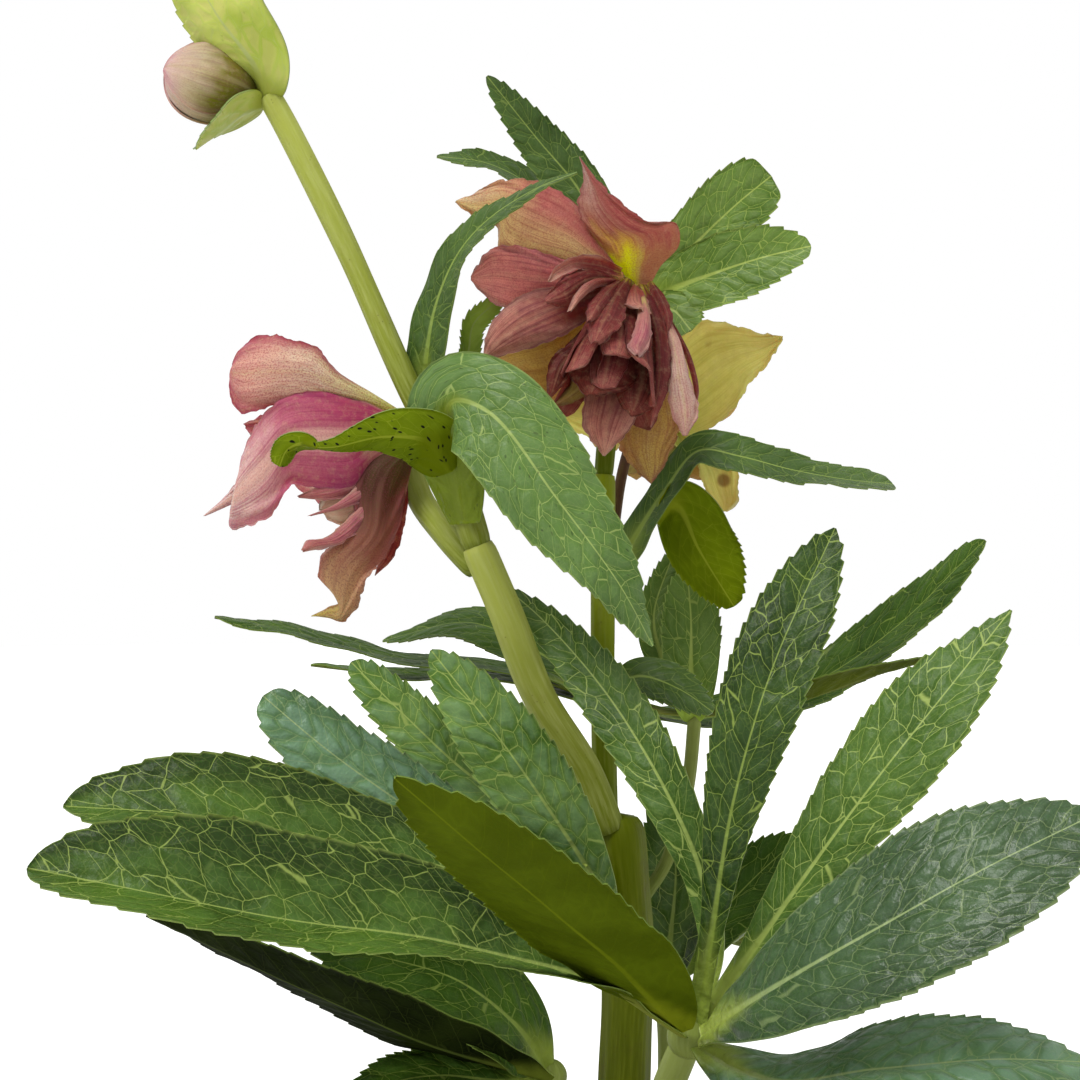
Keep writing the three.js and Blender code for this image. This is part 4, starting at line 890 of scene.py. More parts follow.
bractMake = {
    **leafletMake, "point": 0.8, "finish": ("deepBract", "paleBack"), "rows": 110, "columns": 18,
    "thickness": 0.6, "teeth": 20, "veinGap": 5.5, "pucker": 0.3, "wave": 0.9, "waveLength": 6,
    "toothDepth": 0.7, "toothFrom": 0.4, "groove": 0.3,
}
bracts = {
    "front_bract": {
        "spine": [(-38, 329, -19.5), (-41, 342.5, -22), (-43, 352.5, -27), (-40.5, 359.5, -30),
            (-31, 356.5, -36), (-15, 336, -41), (1, 314, -40), (9.5, 298.5, -34)],
        "width": 23, "broadest": 0.48, "point": 1.2, "fold": 0.1, "cup": -0.15, "stalk": 9,
        "face": ((-0.6, -0.8, 0), (0.35, -0.8, 0.5)), "finish": ("glaucousBract", "spottedBack"),
        "teeth": 24,
        "lobe": {
            "spine": [(-41, 342.5, -23), (-47, 350, -29), (-57.5, 351, -33), (-70, 348.5, -34),
                (-80, 349, -31)],
            "width": 12.5, "broadest": 0.25, "point": 1.4, "fold": 0.1, "cup": 0.1, "stalk": 5,
            "face": ((-0.2, 0.85, 0.45), (-0.1, 0.75, 0.6)), "toothed": 0.2,
            "lobe": {
                "spine": [(-74, 348.4, -33), (-78.5, 349.6, -32), (-82, 348, -31), (-84, 343.5, -30)],
                "width": 5.2, "broadest": 0.6, "point": 0.6, "fold": 0.1, "cup": 0.3, "stalk": 0,
                "face": ((-0.1, 0.75, 0.6), (-0.1, 0.75, 0.6)), "toothed": 0.5,
            },
        },
    },
    "arching_bract": {
        "spine": [(-48, 357, -12), (-47, 372.5, -15), (-44.5, 384, -18), (-38.5, 396.5, -22),
            (-30, 406, -28), (-19.5, 413, -32), (-9.5, 417, -33)],
        "width": 11.5, "broadest": 0.3, "point": 1, "fold": 0.2,
        "face": ((-0.6, -0.75, 0.1), (-0.4, -0.6, 0.7)),
        "lobe": {
            "spine": [(-48, 357, -10), (-41, 363, -12), (-36.5, 371.5, -14), (-35, 379, -15),
                (-29, 385, -15)],
            "width": 4.4, "broadest": 0.74, "fold": 0.1, "cup": 0,
            "face": ((0.4, 0.9, 0.2), (0.4, 0.9, 0.2)),
        },
    },
    "upright_bract": {
        "spine": [(2, 379.5, 2), (-2, 397.5, 8), (-9, 412.5, 10), (-20, 426, 10), (-32, 441, 6)],
        "width": 12, "broadest": 0.5, "point": 1, "fold": 0.2,
        "face": ((-0.3, -0.9, 0.2), (-0.3, -0.9, 0.3)), "teeth": 22,
        "lobe": {
            "spine": [(1, 380, 2), (-6, 397.5, 13), (-19, 412.5, 16), (-31, 419, 15), (-44.5, 421, 12)],
            "width": 10, "point": 1, "cup": 0, "face": ((-0.2, -0.7, 0.7), (0, -0.6, 0.8)),
        },
    },
    "lobed_bract": {
        "spine": [(4, 381, 4), (12, 390, 4), (21, 400, 2), (31, 409.5, -2), (39, 416, -6)],
        "width": 17, "broadest": 0.7, "point": 0.6, "cup": 0.05,
        "face": ((-0.2, -0.95, 0.1), (0.1, -0.9, 0.3)), "finish": ("freshBract", "paleBack"),
        "teeth": 16,
        "lobe": {
            "spine": [(5, 380.5, 4), (12, 386.5, 3), (25, 392, -4), (37.5, 396, -8), (49, 398.5, -10)],
            "width": 17, "broadest": 0.52, "point": 0.9, "fold": 0.1, "cup": 0.05,
            "face": ((-0.1, -0.95, 0.2), (0.1, -0.9, 0.2)),
            "lobe": {
                "spine": [(5, 380, 4), (9, 382.5, 2), (14, 383, -1), (19, 377.5, -5)],
                "width": 9, "broadest": 0.7, "point": 0.6, "fold": 0.1, "cup": 0.05,
                "face": ((-0.1, -0.95, 0.2), (0, -0.95, 0.2)),
            },
        },
    },
    "right_bract": {
        "spine": [(-2, 314, -2), (4, 324, -6), (13, 337.5, -10), (21, 347, -13), (31, 346, -15),
            (44, 343, -16), (57.5, 340.5, -17), (69.5, 339, -13)],
        "width": 10.5, "broadest": 0.78, "cup": 0, "stalk": 8,
        "face": ((-0.6, -0.8, 0.2), (0.1, -0.45, 0.9)), "finish": ("deepBract", "stalkBack"),
    },
    "olive_bract": {
        "spine": [(10.5, 334, -10), (16, 333, -7), (21, 323, -5), (30, 308.5, -6)],
        "width": 18, "broadest": 0.48, "point": 0.7, "fold": 0.1, "cup": 0.05,
        "face": ((0.5, 0.8, 0.2), (0.4, 0.85, 0.3)), "finish": ("deepBract", "oliveBractBack"),
    },
    "shoot_leaf": {
        "spine": [(19.5, 279.5, 14), (19, 292.5, 12), (19, 305, 13), (18, 318, 16)],
        "width": 14, "face": ((-0.1, -1, 0.1), (0, -1, 0.1)), "finish": ("freshBract", "paleBack"),
        "teeth": 18,
        "lobe": {
            "spine": [(19, 287, 13), (13, 294, 18), (10, 306, 22), (15, 323, 24)],
            "width": 8, "broadest": 0.5, "fold": 0.1, "cup": 0,
            "face": ((-0.5, -0.85, 0.1), (-0.6, -0.8, 0.1)),
        },
    },
    "stem_leaf": {
        "spine": [(-2, 287.5, -1), (6, 291, -7), (16, 287.5, -11), (24.5, 282, -13)],
        "width": 12, "broadest": 0.5, "face": ((-0.1, -0.7, 0.7), (0, -0.6, 0.8)), "teeth": 14,
    },
    "bud_upper_bract": {
        "spine": [(-87, 435, -6), (-90, 443.5, -12), (-98, 454.5, -14), (-104, 465, -12),
            (-107, 473, -8)],
        "width": 21, "broadest": 0.62, "fold": 0, "cup": 0.35, "stalk": 6,
        "face": ((0.5, 0.8, -0.1), (0.5, 0.85, -0.1)), "finish": ("deepBract", "budBack"), "teeth": 12,
    },
    "bud_lower_bract": {
        "spine": [(-88, 434, -6), (-94, 431.5, -9), (-99.5, 427, -12), (-105, 423, -14)],
        "width": 13, "fold": 0.1, "cup": 0.1, "stalk": 5, "face": ((-0.5, 0.4, 0.7), (-0.5, -0.2, 0.8)),
        "finish": ("glaucousBract", "budBack"), "teeth": 12,
    },
}

makeBlades(bracts, bractMake)
print("hellebore: bracts grown")

# Sepals and the inner petals in front, each by its left and its right margin as (right, up) from base to
# tip. belly is how far the middle stands out to the front.
sepalMake = {
    "rows": 72, "columns": 36, "thickness": 0.5, "ragged": 0.3, "wave": 1.5, "waveLength": 4.0,
    "ribs": 0.16, "crease": 0.3,
}
mainSepals = {
    "main_sepal_top": {
        "left": [(2.5, 389), (-2.5, 395), (-6.5, 402), (-9.5, 408.5), (-8.5, 413), (-8, 417),
            (-9, 421)],
        "right": [(9, 389), (11.5, 393.5), (16, 398.5), (15.5, 403.5), (8, 405), (0, 411), (-6, 417),
            (-9, 421)],
        "depth": (-13, -18, -24), "belly": 2.5, "finish": "chartreuseRose",
    },
    "main_sepal_upper": {
        "left": [(3, 391.5), (-3, 399), (-9.5, 409), (-19, 414.5), (-29, 415), (-35, 412),
            (-39.5, 410)],
        "right": [(2, 390), (-12.5, 393), (-23, 393.5), (-29, 397), (-29.5, 403), (-35, 405),
            (-40, 409.5)],
        "depth": (-14, -17, -18), "belly": 2.0, "finish": "peachRose",
    },
    "main_sepal_left": {
        "left": [(2, 392), (-14, 395.5), (-24, 398.5), (-31, 398), (-34, 394.5), (-36, 391)],
        "right": [(2, 389), (-10, 385), (-21, 382), (-27, 383), (-33, 386.5), (-36, 390)],
        "depth": (-15, -19, -21), "belly": 1.5, "finish": "clearRose",
    },
    "main_sepal_lower": {
        "left": [(2, 389), (-12, 384), (-25, 381), (-30, 377.5), (-33, 372.5), (-32, 368.5)],
        "right": [(3, 387), (-3, 374), (-7, 364.5), (-12, 359), (-19, 359), (-28, 364), (-32, 368)],
        "depth": (-14, -13, -13), "belly": 2.0, "finish": "oliveRose",
    },
    "main_sepal_bottom": {
        "left": [(3, 387), (1, 372.5), (-1, 359), (0.5, 349), (5, 342.5), (9, 339)],
        "right": [(7, 387.5), (12, 377.5), (15, 364), (17, 354), (14, 347.5), (12, 342.5), (9, 339)],
        "depth": (-12, -13, -12), "belly": 2.5, "finish": "brownRose",
    },
}

leftSepals = {
    "left_sepal_upper": {
        "left": [(-53, 357), (-61, 362), (-69, 367), (-75, 373.5), (-80, 375), (-87.5, 376.5),
            (-93, 374), (-96, 367)],
        "right": [(-53, 355), (-63, 359), (-74, 360), (-84, 359), (-90, 357), (-94, 357), (-96, 361),
            (-96, 366.5)],
        "depth": (-6, -12, -11), "belly": 3.0, "finish": "dustyPink",
    },
    "left_sepal_middle": {
        "left": [(-53, 355), (-67.5, 361.5), (-82, 361), (-89, 355), (-93.5, 346), (-94, 341),
            (-98, 335.5), (-103, 331)],
        "right": [(-52, 348.5), (-60, 344.5), (-65.5, 338), (-74, 338), (-81, 338.5), (-86, 331),
            (-91, 328.5), (-96.5, 328), (-94, 334), (-102.5, 331)],
        "depth": (-7, -17, -17), "belly": 3.0, "finish": "magentaStreak",
    },
    "left_sepal_lower": {
        "left": [(-53, 349), (-63, 345.5), (-66, 339), (-65.5, 330), (-73, 322), (-74, 316), (-69, 310),
            (-72, 308), (-76, 306)],
        "right": [(-50, 347), (-52, 337.5), (-54, 328), (-58, 320), (-62, 315), (-64, 309),
            (-68, 304.5), (-72, 305.5), (-75.5, 306)],
        "depth": (-7, -13, -10), "belly": 3.0, "finish": "brownPink",
    },
    "left_sepal_far": {
        "left": [(-53, 351), (-64, 357), (-75, 359), (-85, 357.5), (-93, 354)],
        "right": [(-52, 347.5), (-59, 335), (-69, 332), (-79, 337.5), (-88, 347.5), (-92.5, 353)],
        "depth": (0, 14, 20), "belly": -3.0, "finish": "dustyPink",
    },
}

rearSepals = {
    "rear_sepal_right": {
        "left": [(9, 359), (13, 372), (21, 379.5), (29, 379), (36, 377), (42, 376)],
        "right": [(10, 356.5), (17, 351.5), (23, 352.5), (30, 358), (34, 364.5), (38, 368.5),
            (42, 375)],
        "depth": (22, 18, 18), "belly": -3.0, "finish": "yellowOlive",
    },
    "rear_sepal_left": {
        "left": [(8, 359), (-1, 362), (-11, 362.5), (-19, 359.5)],
        "right": [(9, 355.5), (0, 350), (-10, 352), (-19, 358.5)],
        "depth": (22, 19, 20), "belly": -2.5, "finish": "yellowOlive",
    },
    "rear_sepal_top": {
        "left": [(7.5, 359), (1, 367), (-3, 376), (1, 385)],
        "right": [(11, 359), (16, 369), (13, 379), (2, 385)],
        "depth": (24, 28, 36), "belly": -2.5, "finish": "yellowOlive",
    },
    "rear_sepal_low": {
        "left": [(9, 356), (15, 348.5), (20.5, 344), (22, 338.5), (27, 332)],
        "right": [(11, 356.5), (19, 351), (25, 346), (30.5, 343), (31, 337), (30.5, 334), (28, 332)],
        "depth": (22, 20, 22), "belly": -2.0, "finish": "yellowOlive",
    },
}


def makeSepals(table):
    for name, shape in table.items():
        sheet = growPetal(shape, sepalMake, seedOf(name))
        settle(makeSheets(name + "_look", [sheet], [finishes[shape["finish"]]] * 2), name)


makeSepals(mainSepals)
makeSepals(leftSepals)
makeSepals(rearSepals)
print("hellebore: outer sepals grown")

innerMake = {
    **sepalMake, "rows": 44, "columns": 20, "thickness": 0.4, "ragged": 0.22, "wave": 1.1,
    "waveLength": 3.0,
}
mainPetals = [
    {"left": [(1, 390), (-10, 388.5), (-22, 387), (-28, 383), (-32, 377), (-33, 371)],
     "right": [(2, 387.5), (-6, 380.5), (-13, 376), (-21, 373), (-32, 370)],
     "depth": (-17, -24, -22), "belly": 2.5, "finish": "duskyHeart"},
    {"left": [(2, 393), (-4, 396), (-10, 396), (-15, 393), (-16.5, 390)],
     "right": [(2, 391), (-5, 392), (-10, 392.5), (-13, 391), (-16, 389.5)],
     "depth": (-18, -26, -30), "belly": -1.2, "finish": "duskyHeart"},
    {"left": [(0, 391), (-7.5, 393), (-14, 390), (-18, 385)],
     "right": [(0.5, 389), (-7, 386.5), (-12, 383), (-17, 384)],
     "depth": (-18, -27, -30), "belly": 2.0, "finish": "mauveHeart"},
    {"left": [(1, 390), (-6, 390), (-10, 386.5), (-12, 382)],
     "right": [(1, 389), (-4.5, 388), (-8.5, 385), (-11, 382)],
     "depth": (-19, -31, -36), "belly": 1.5, "finish": "duskyHeart"},
    {"left": [(1, 390), (-4, 387), (-7, 383), (-7, 379.5)],
     "right": [(2, 389), (0, 385), (-3, 381.5), (-6, 379.5)],
     "depth": (-19, -32, -38), "belly": 2.0, "finish": "mauveHeart"},
    {"left": [(2, 390), (-4, 384), (-7, 378.5), (-6, 374)],
     "right": [(4, 389.5), (3, 383.5), (1.5, 378), (-4, 374)],
     "depth": (-20, -34, -40), "belly": 2.0, "finish": "mauveHeart"},
    {"left": [(-1, 385), (-11, 375), (-16.5, 369.5), (-17, 360)],
     "right": [(0, 384), (-5, 373), (-11, 367), (-14, 362.5), (-16.5, 360)],
     "depth": (-18, -26, -28), "belly": 1.5, "finish": "darkHeart"},
    {"left": [(0, 384.5), (-7, 372.5), (-12, 363.5), (-16, 359)],
     "right": [(2, 384), (-2, 371), (-6, 362), (-10, 359.5), (-15, 358)],
     "depth": (-17, -20, -20), "belly": 1.5, "finish": "oliveHeart"},
    {"left": [(1, 386), (-9, 374), (-11, 365), (-7, 361)],
     "right": [(3, 385.5), (7, 373), (4, 363), (-5, 361)],
     "depth": (-20, -30, -34), "belly": 2.5, "finish": "darkHeart"},
    {"left": [(1, 382.5), (-6, 367), (-8, 359), (-8, 353), (-3, 346)],
     "right": [(4, 382), (8, 369.5), (7, 359.5), (3, 351.5), (-2.5, 346)],
     "depth": (-16, -22, -24), "belly": 2.5, "finish": "duskyHeart"},
    {"left": [(3, 386), (0, 372.5), (0, 362), (4, 356)],
     "right": [(6, 386), (12, 374), (13, 362), (8, 356.5), (4, 356)],
     "depth": (-19, -28, -32), "belly": 2.5, "finish": "darkHeart"},
    {"left": [(5, 388), (8, 378), (9, 367), (9, 359), (9, 353.5)],
     "right": [(8, 388.5), (12, 380.5), (14, 371), (13, 362), (9, 353)],
     "depth": (-17, -27, -31), "belly": 1.8, "finish": "mauveHeart"},
    {"left": [(4, 388.5), (2, 386), (2, 383.5), (6, 383)],
     "right": [(6, 388), (8, 385.5), (9, 382), (7, 382)],
     "depth": (-18, -27, -32), "belly": 1.5, "finish": "duskyHeart"},
    {"left": [(6, 385), (5.5, 380.5), (4, 375.5), (3, 373), (5, 371)],
     "right": [(8, 384.5), (9, 380), (9, 375), (7, 371), (6, 370.5)],
     "depth": (-26, -36, -40), "belly": 2.2, "finish": "pinkHeart"},
    {"left": [(8, 389), (10, 384.5), (12, 380.5), (13, 376.5)],
     "right": [(10, 389), (13, 385), (14.5, 380.5), (13, 376)],
     "depth": (-15, -20, -22), "belly": 1.2, "finish": "mauveHeart"},
    {"left": [(12, 380.5), (17, 372), (19.5, 364), (20, 357.5)],
     "right": [(14, 380.5), (19, 371), (21, 362.5), (20, 357)],
     "depth": (-18, -22, -22), "belly": 1.0, "finish": "mauveHeart"},
    {"left": [(12, 379.5), (12.5, 372.5), (13, 364), (14, 356.5), (17, 351)],
     "right": [(14.5, 379), (17, 372.5), (19, 365), (21, 357), (18, 351)],
     "depth": (-19, -27, -29), "belly": 2.0, "finish": "paleHeart"},
]

leftPetals = [
    {"left": [(-53, 349), (-64, 343.5), (-71, 340), (-79.5, 336)],
     "right": [(-52, 347), (-61, 338.5), (-70, 335), (-79, 335.5)],
     "depth": (-6, -10, -13), "belly": 1.5, "finish": "pinkHeart"},
    {"left": [(-53, 348), (-63, 340), (-70, 334), (-77, 331)],
     "right": [(-52, 346.5), (-61, 335.5), (-67.5, 333), (-76, 331)],
     "depth": (-6, -12, -16), "belly": 1.2, "finish": "pinkHeart"},
    {"left": [(-53, 347.5), (-64, 340.5), (-73, 335.5), (-74, 332.5)],
     "right": [(-52, 346), (-62, 331), (-67, 328), (-72, 330)],
     "depth": (-4, -7, -9), "belly": 2.0, "finish": "creamHeart"},
    {"left": [(-53, 347), (-64, 334), (-72.5, 325.5), (-77, 325), (-78.5, 322.5)],
     "right": [(-52, 345.5), (-61, 330), (-67.5, 324.5), (-73, 323), (-78, 322)],
     "depth": (-7, -15, -20), "belly": 1.5, "finish": "pinkHeart"},
    {"left": [(-52, 346), (-55, 334), (-58, 324), (-60, 316.5)],
     "right": [(-51, 345.5), (-52, 332.5), (-55, 321), (-60, 316)],
     "depth": (-1, 1, 2), "belly": 1.5, "finish": "mauveHeart"},
]

# Flower hearts: rings of narrow inner petals round the way the flower looks. lean is in radians.
hearts = {
    "main_flower_heart": {
        "at": (3.5, 390.5, -15), "receptacle": (5, 389.5, -9.5), "radius": 3.8,
        "looks": (-0.2, -0.5, -0.86), "finish": "mauveHeart", "slot": "mauve_petal", "width": 9.5,
        "lift": 0.2, "front": mainPetals,
        "rings": [{"count": 5, "lean": 0.1, "length": 34}, {"count": 8, "lean": 0.35, "length": 36}],
    },
    "rear_flower_heart": {
        "at": (9.5, 357.5, 22), "receptacle": (9.5, 357, 20), "radius": 3.6,
        "looks": (0.25, 0.85, -0.45), "finish": "yellowHeart", "slot": "yellow_petal", "width": 8.5,
        "lift": 0.1, "front": [],
        "rings": [{"count": 4, "lean": 0.2, "length": 21}, {"count": 7, "lean": 0.55, "length": 25},
            {"count": 7, "lean": 0.85, "length": 25}],
    },
    "left_flower_heart": {
        "at": (-51, 349, -3), "receptacle": (-50.5, 349.5, -1.5), "radius": 3.6,
        "looks": (-0.82, 0.12, -0.56), "finish": "pinkHeart", "slot": "pink_petal", "width": 7.0,
        "lift": 0.1, "front": leftPetals,
        "rings": [{"count": 4, "lean": 0.12, "length": 24}, {"count": 6, "lean": 0.3, "length": 25}],
    },
}
innerPetal = {**leafletMake, "rows": 26, "columns": 10, "thickness": 0.4, "teeth": 0, "toothDepth": 0.0,
              "ragged": 0.3, "pucker": 0.0, "wave": 0.9, "waveLength": 4, "groove": 0.2, "sway": 0.5}
innerShape = {"broadest": 0.66, "point": 0.7, "fold": 0.0, "stalk": 2.4, "from": 0.04}


def petalSheets(flower, seed):
    random = np.random.default_rng(seed)
    centre = place(flower["at"])
    axis = unit(np.array(flower["looks"]))
    right = unit(np.cross(axis, (0, 0, 1)))
    up = np.cross(right, axis)
    sheets = []
    for ring in flower["rings"]:
        for k in range(ring["count"]):
            turn = (k + 0.5 + random.uniform(-0.25, 0.25)) / ring["count"] * 2 * math.pi
            outward = right * math.cos(turn) + up * math.sin(turn)
            lean = ring["lean"] + random.uniform(-0.1, 0.1)
            way = axis * math.cos(lean) + outward * math.sin(lean)
            reach = ring["length"] * random.uniform(0.82, 1.08)
            points = [centre + way * share * reach + outward * flower["lift"] * reach * share * (1 - share)
                      for share in (innerShape["from"], 0.3, 0.65, 1)]
            inward = tuple(-outward)
            shape = {**innerShape, "width": flower["width"] * random.uniform(0.8, 1.15),
                     "cup": random.uniform(0.2, 0.5), "face": (inward, inward)}
            look = {**innerPetal, "curl": random.uniform(-3.5, 2.0)}
            sheets.append(growBlade(points, shape, look, int(random.integers(9999))))
    return sheets


def ball(centre, radii, rows=14, sides=18, skin=0.3):
    polar = np.linspace(math.pi, 0, rows + 1)[:, None]
    turn = np.linspace(0, 2 * math.pi, sides + 1)[None, :]
    level = np.cos(polar) + 0 * turn
    shape = np.stack([np.sin(polar) * np.cos(turn), np.sin(polar) * np.sin(turn), level], -1)
    top = np.array(centre) + shape * np.array(radii)
    spot = plainPlaces(turn / math.pi - 1, polar / math.pi)
    return {"top": top, "under": top - shape * skin, "flat": spot[..., :2] * 2, "place": spot}


# The rings of petals, the round receptacle behind them and the petals in front, each with its own finish.
def makeHeart(name, flower):
    seed = seedOf(name)
    sheets = petalSheets(flower, seed)
    sheets.append(ball(place(flower["receptacle"]), [flower["radius"]] * 3))
    dress = [flower["finish"]]
    for k, petal in enumerate(flower["front"]):
        if petal["finish"] not in dress:
            dress.append(petal["finish"])
        sheet = growPetal(petal, innerMake, seed + k)
        sheets.append({**sheet, "finish": 2 * dress.index(petal["finish"])})
    piece = makeSheets(name + "_look", sheets, [finishes[f] for f in dress for _ in range(2)])
    settle(piece, name)


for name, flower in hearts.items():
    makeHeart(name, flower)
print("hellebore: flower hearts filled")

# The bud: five sepals closed over one another on an egg.
bud = {
    "at": (-101, 439, -4), "toward": (-0.9, -0.1, 0.25), "radius": 10.5, "length": 25, "sepals": 5,
    "spread": 1.0, "turn": 0.4, "inset": 0.9, "overlap": 0.28, "tipInset": 1, "tipOverlap": 0.2,
    "bulge": 0.35, "unevenness": 0.25, "thickness": 0.5, "rows": 40, "columns": 24,
}


def budSheets():
    axis = unit(np.array(bud["toward"]))
    right = unit(np.cross(axis, (0, 1, 0)))
    up = np.cross(axis, right)
    t = np.linspace(0, 1, bud["rows"] + 1)[:, None]
    s = np.linspace(-1, 1, bud["columns"] + 1)[None, :]
    wide = bud["spread"] * np.sin(math.pi * (0.08 + 0.9 * t)) ** 0.55
    polar = math.pi * (0.03 + 0.95 * t) + 0 * s
    sheets = []
    for k in range(bud["sepals"]):
        turn = 2 * math.pi * (k * 2 % bud["sepals"]) / bud["sepals"] + bud["turn"] + s * wide
        puff = bud["radius"] - bud["inset"] + bud["overlap"] * k + bud["bulge"] * s ** 2 * t
        puff = puff + bud["unevenness"] * wobble(3 * s + 4 * t, k)
        reach = bud["length"] / 2 - bud["tipInset"] + bud["tipOverlap"] * k
        outward = right * np.cos(turn)[..., None] + up * np.sin(turn)[..., None]
        ring = (np.sin(polar) * puff)[..., None]
        top = place(bud["at"]) + outward * ring - axis * (np.cos(polar) * reach)[..., None]
        normal = unit(outward * np.sin(polar)[..., None] - axis * np.cos(polar)[..., None])
        flat = np.stack([turn, t * 2.5 + k + 0 * s], -1)
        under = top - normal * bud["thickness"]
        sheets.append({"top": top, "under": under, "flat": flat, "place": plainPlaces(s, t)})
    return sheets


settle(makeSheets("flower_bud_look", budSheets(), [finishes["budSkin"]] * 2), "flower_bud")
print("hellebore: bud closed")

# Stems: each is one tube or more with fine ribs, and a route runs from a tube's start to its end.
stems = {
    "center_stem": [
        {"radius": 3.0, "route": [(-2, 247.5, -1), (-3, 285, 1), (-3, 320, 2), (-3, 342.5, 3)]},
        {"radius": 2.4, "route": [(-3, 340, 3), (-1, 360, 3), (2, 377.5, -1), (5, 387, -7), (4, 392, -13)]},
    ],
    "forked_stem": [
        {"radius": 4.1, "route": [(-1, 251, -6), (-7.5, 267.5, -8), (-19, 286, -11), (-27.5, 307.5, -14),
            (-35, 325, -15)]},
        {"radius": 3.7, "route": [(-34, 322, -15), (-38, 335, -15), (-42, 345, -15)]},
        {"radius": 3.0, "route": [(-41, 342.5, -15), (-51, 362, -14), (-67.5, 399, -10), (-82.5, 429, -7),
            (-87, 437, -6)]},
        {"radius": 3.2, "route": [(-34, 317, -13), (-42, 326, -6), (-49, 336, 2), (-51, 344.5, 0),
            (-51, 348, -2)]},
    ],
    "rear_flower_stalk": [
        {"radius": 1.6, "route": [(-1, 147.5, 9), (-1, 190, 11), (-2, 235, 10), (-3, 265, 10),
            (-3, 295, 11)]},
        {"radius": 1.4, "route": [(-3, 292, 11), (-1, 320, 13), (2, 342.5, 15), (6, 354, 19),
            (9, 357, 23)]},
    ],
    "side_shoot": [{"radius": 1.7, "route": [(6, 234, 4), (13, 245, 11), (18, 262.5, 14), (20, 281, 14)]}],
    "front_leaf_stalk": [
        {"radius": 3.6, "route": [(3, 137.5, -4), (6, 162.5, -13), (12, 185, -28), (18, 200, -36)]},
    ],
    "low_leaf_stalk": [
        {"radius": 2.6, "route": [(-4, 137.5, -4), (-8, 162.5, -14), (-13, 182.5, -26), (-16, 190.5, -31)]},
    ],
    "upper_leaf_stalk": [
        {"radius": 2.3, "route": [(1, 130, 7), (0.5, 172.5, 17), (0, 200, 21), (-1.5, 235, 22),
            (-2, 265, 22), (-2, 284.5, 20)]},
    ],
    "rear_leaf_stalk": [
        {"radius": 2.4, "route": [(8, 137.5, 8), (12, 172.5, 20), (13, 197.5, 30), (12, 214, 34)]},
    ],
}

# The swollen end of a leaf stalk, where its leaflets meet.
hubs = {
    "front_leaf_stalk": {"at": (18.5, 201, -36), "radius": 5.2},
    "low_leaf_stalk": {"at": (-16, 191, -31), "radius": 3.8},
    "upper_leaf_stalk": {"at": (-2, 285, 20), "radius": 4.2},
    "rear_leaf_stalk": {"at": (12, 214, 34), "radius": 3.8},
}
hubStretch = 1.05
stemMake = {
    "sides": 28, "step": 1.6, "fewestRows": 8, "ribs": 9, "ribDepth": 0.035, "ribTwist": 0.8, "lumps": 0.03,
    "lumpLength": 12, "innerShare": 0.9,
}
stemDress = {"center_stem": "oliveStem", "forked_stem": "forkStem", "rear_flower_stalk": "darkPedicel"}


def tubeRings(part, seed, endRadius=None, spread=None):
    make = stemMake
    points = [place(point) for point in part["route"]]
    length = follow(points, np.array([0, 1]))[2]
    t = np.linspace(0, 1, max(make["fewestRows"], int(length / make["step"])) + 1)
    middle, along, _ = follow(points, t)
    middle, t = middle[:, None], t[:, None]
    side = unit(np.cross(along, (0.0, 1.0, 0.0)))
    back = np.cross(along, side)
    turn = np.linspace(0, 2 * math.pi, make["sides"] + 1)[None, :]
    radius = part["radius"] + ((endRadius or part["radius"]) - part["radius"]) * t
    ribs = 1 + make["ribDepth"] * np.sin(make["ribs"] * turn + make["ribTwist"] * t)
    lumps = 1 + make["lumps"] * wobble(t * length / make["lumpLength"], seed)
    closing = np.sqrt(np.clip(1 - (np.abs(2 * t - 1) ** (length / radius.mean())) ** 2, 1e-4, 1))
    reach = radius * ribs * lumps * closing
    if spread is not None:
        reach = reach * spread(t, turn)
    rings = middle + side[:, None] * (reach * np.cos(turn))[..., None]
    rings = rings + back[:, None] * (reach * np.sin(turn))[..., None]
    flat = np.stack([radius * turn / 10, t * length / 10 + 0 * turn], -1)
    inner = middle + (rings - middle) * make["innerShare"]
    return {"top": rings, "under": inner, "flat": flat, "place": plainPlaces(turn / math.pi - 1, t)}


def makeStem(name, parts):
    seed = seedOf(name)
    sheets = [tubeRings(part, seed + k) for k, part in enumerate(parts)]
    if name in hubs:
        radius = hubs[name]["radius"]
        sheets.append(ball(place(hubs[name]["at"]), [radius, radius, radius * hubStretch]))
    dress = finishes[stemDress.get(name, "petiole")]
    settle(makeSheets(name + "_look", sheets, [dress, dress]), name)


for name, parts in stems.items():
    makeStem(name, parts)

# The ribbed sheath round the feet of the two main stems, a little slimmer in the middle.
sheath = {
    "radius": 7.6, "endRadius": 6.6, "flaps": 0.06, "furrows": 11, "furrowDepth": 0.035, "waist": 0.12,
    "seed": 3, "route": [(1.5, 137.5, 0), (2, 185, 0), (3, 220, -1), (1.5, 242.5, -3), (0, 257, -3)],
}


def sheathSpread(t, turn):
    furrows = sheath["furrowDepth"] * np.sin(sheath["furrows"] * turn)
    flaps = 1 + sheath["flaps"] * np.cos(turn * 2 + 1.5) + furrows
    return flaps * (1 - sheath["waist"] * np.sin(math.pi * t))


sheet = tubeRings(sheath, sheath["seed"], sheath["endRadius"], sheathSpread)
settle(makeSheets("leaf_sheath_look", [sheet], [finishes["sheathSkin"]] * 2), "leaf_sheath")
print("hellebore: stems drawn")

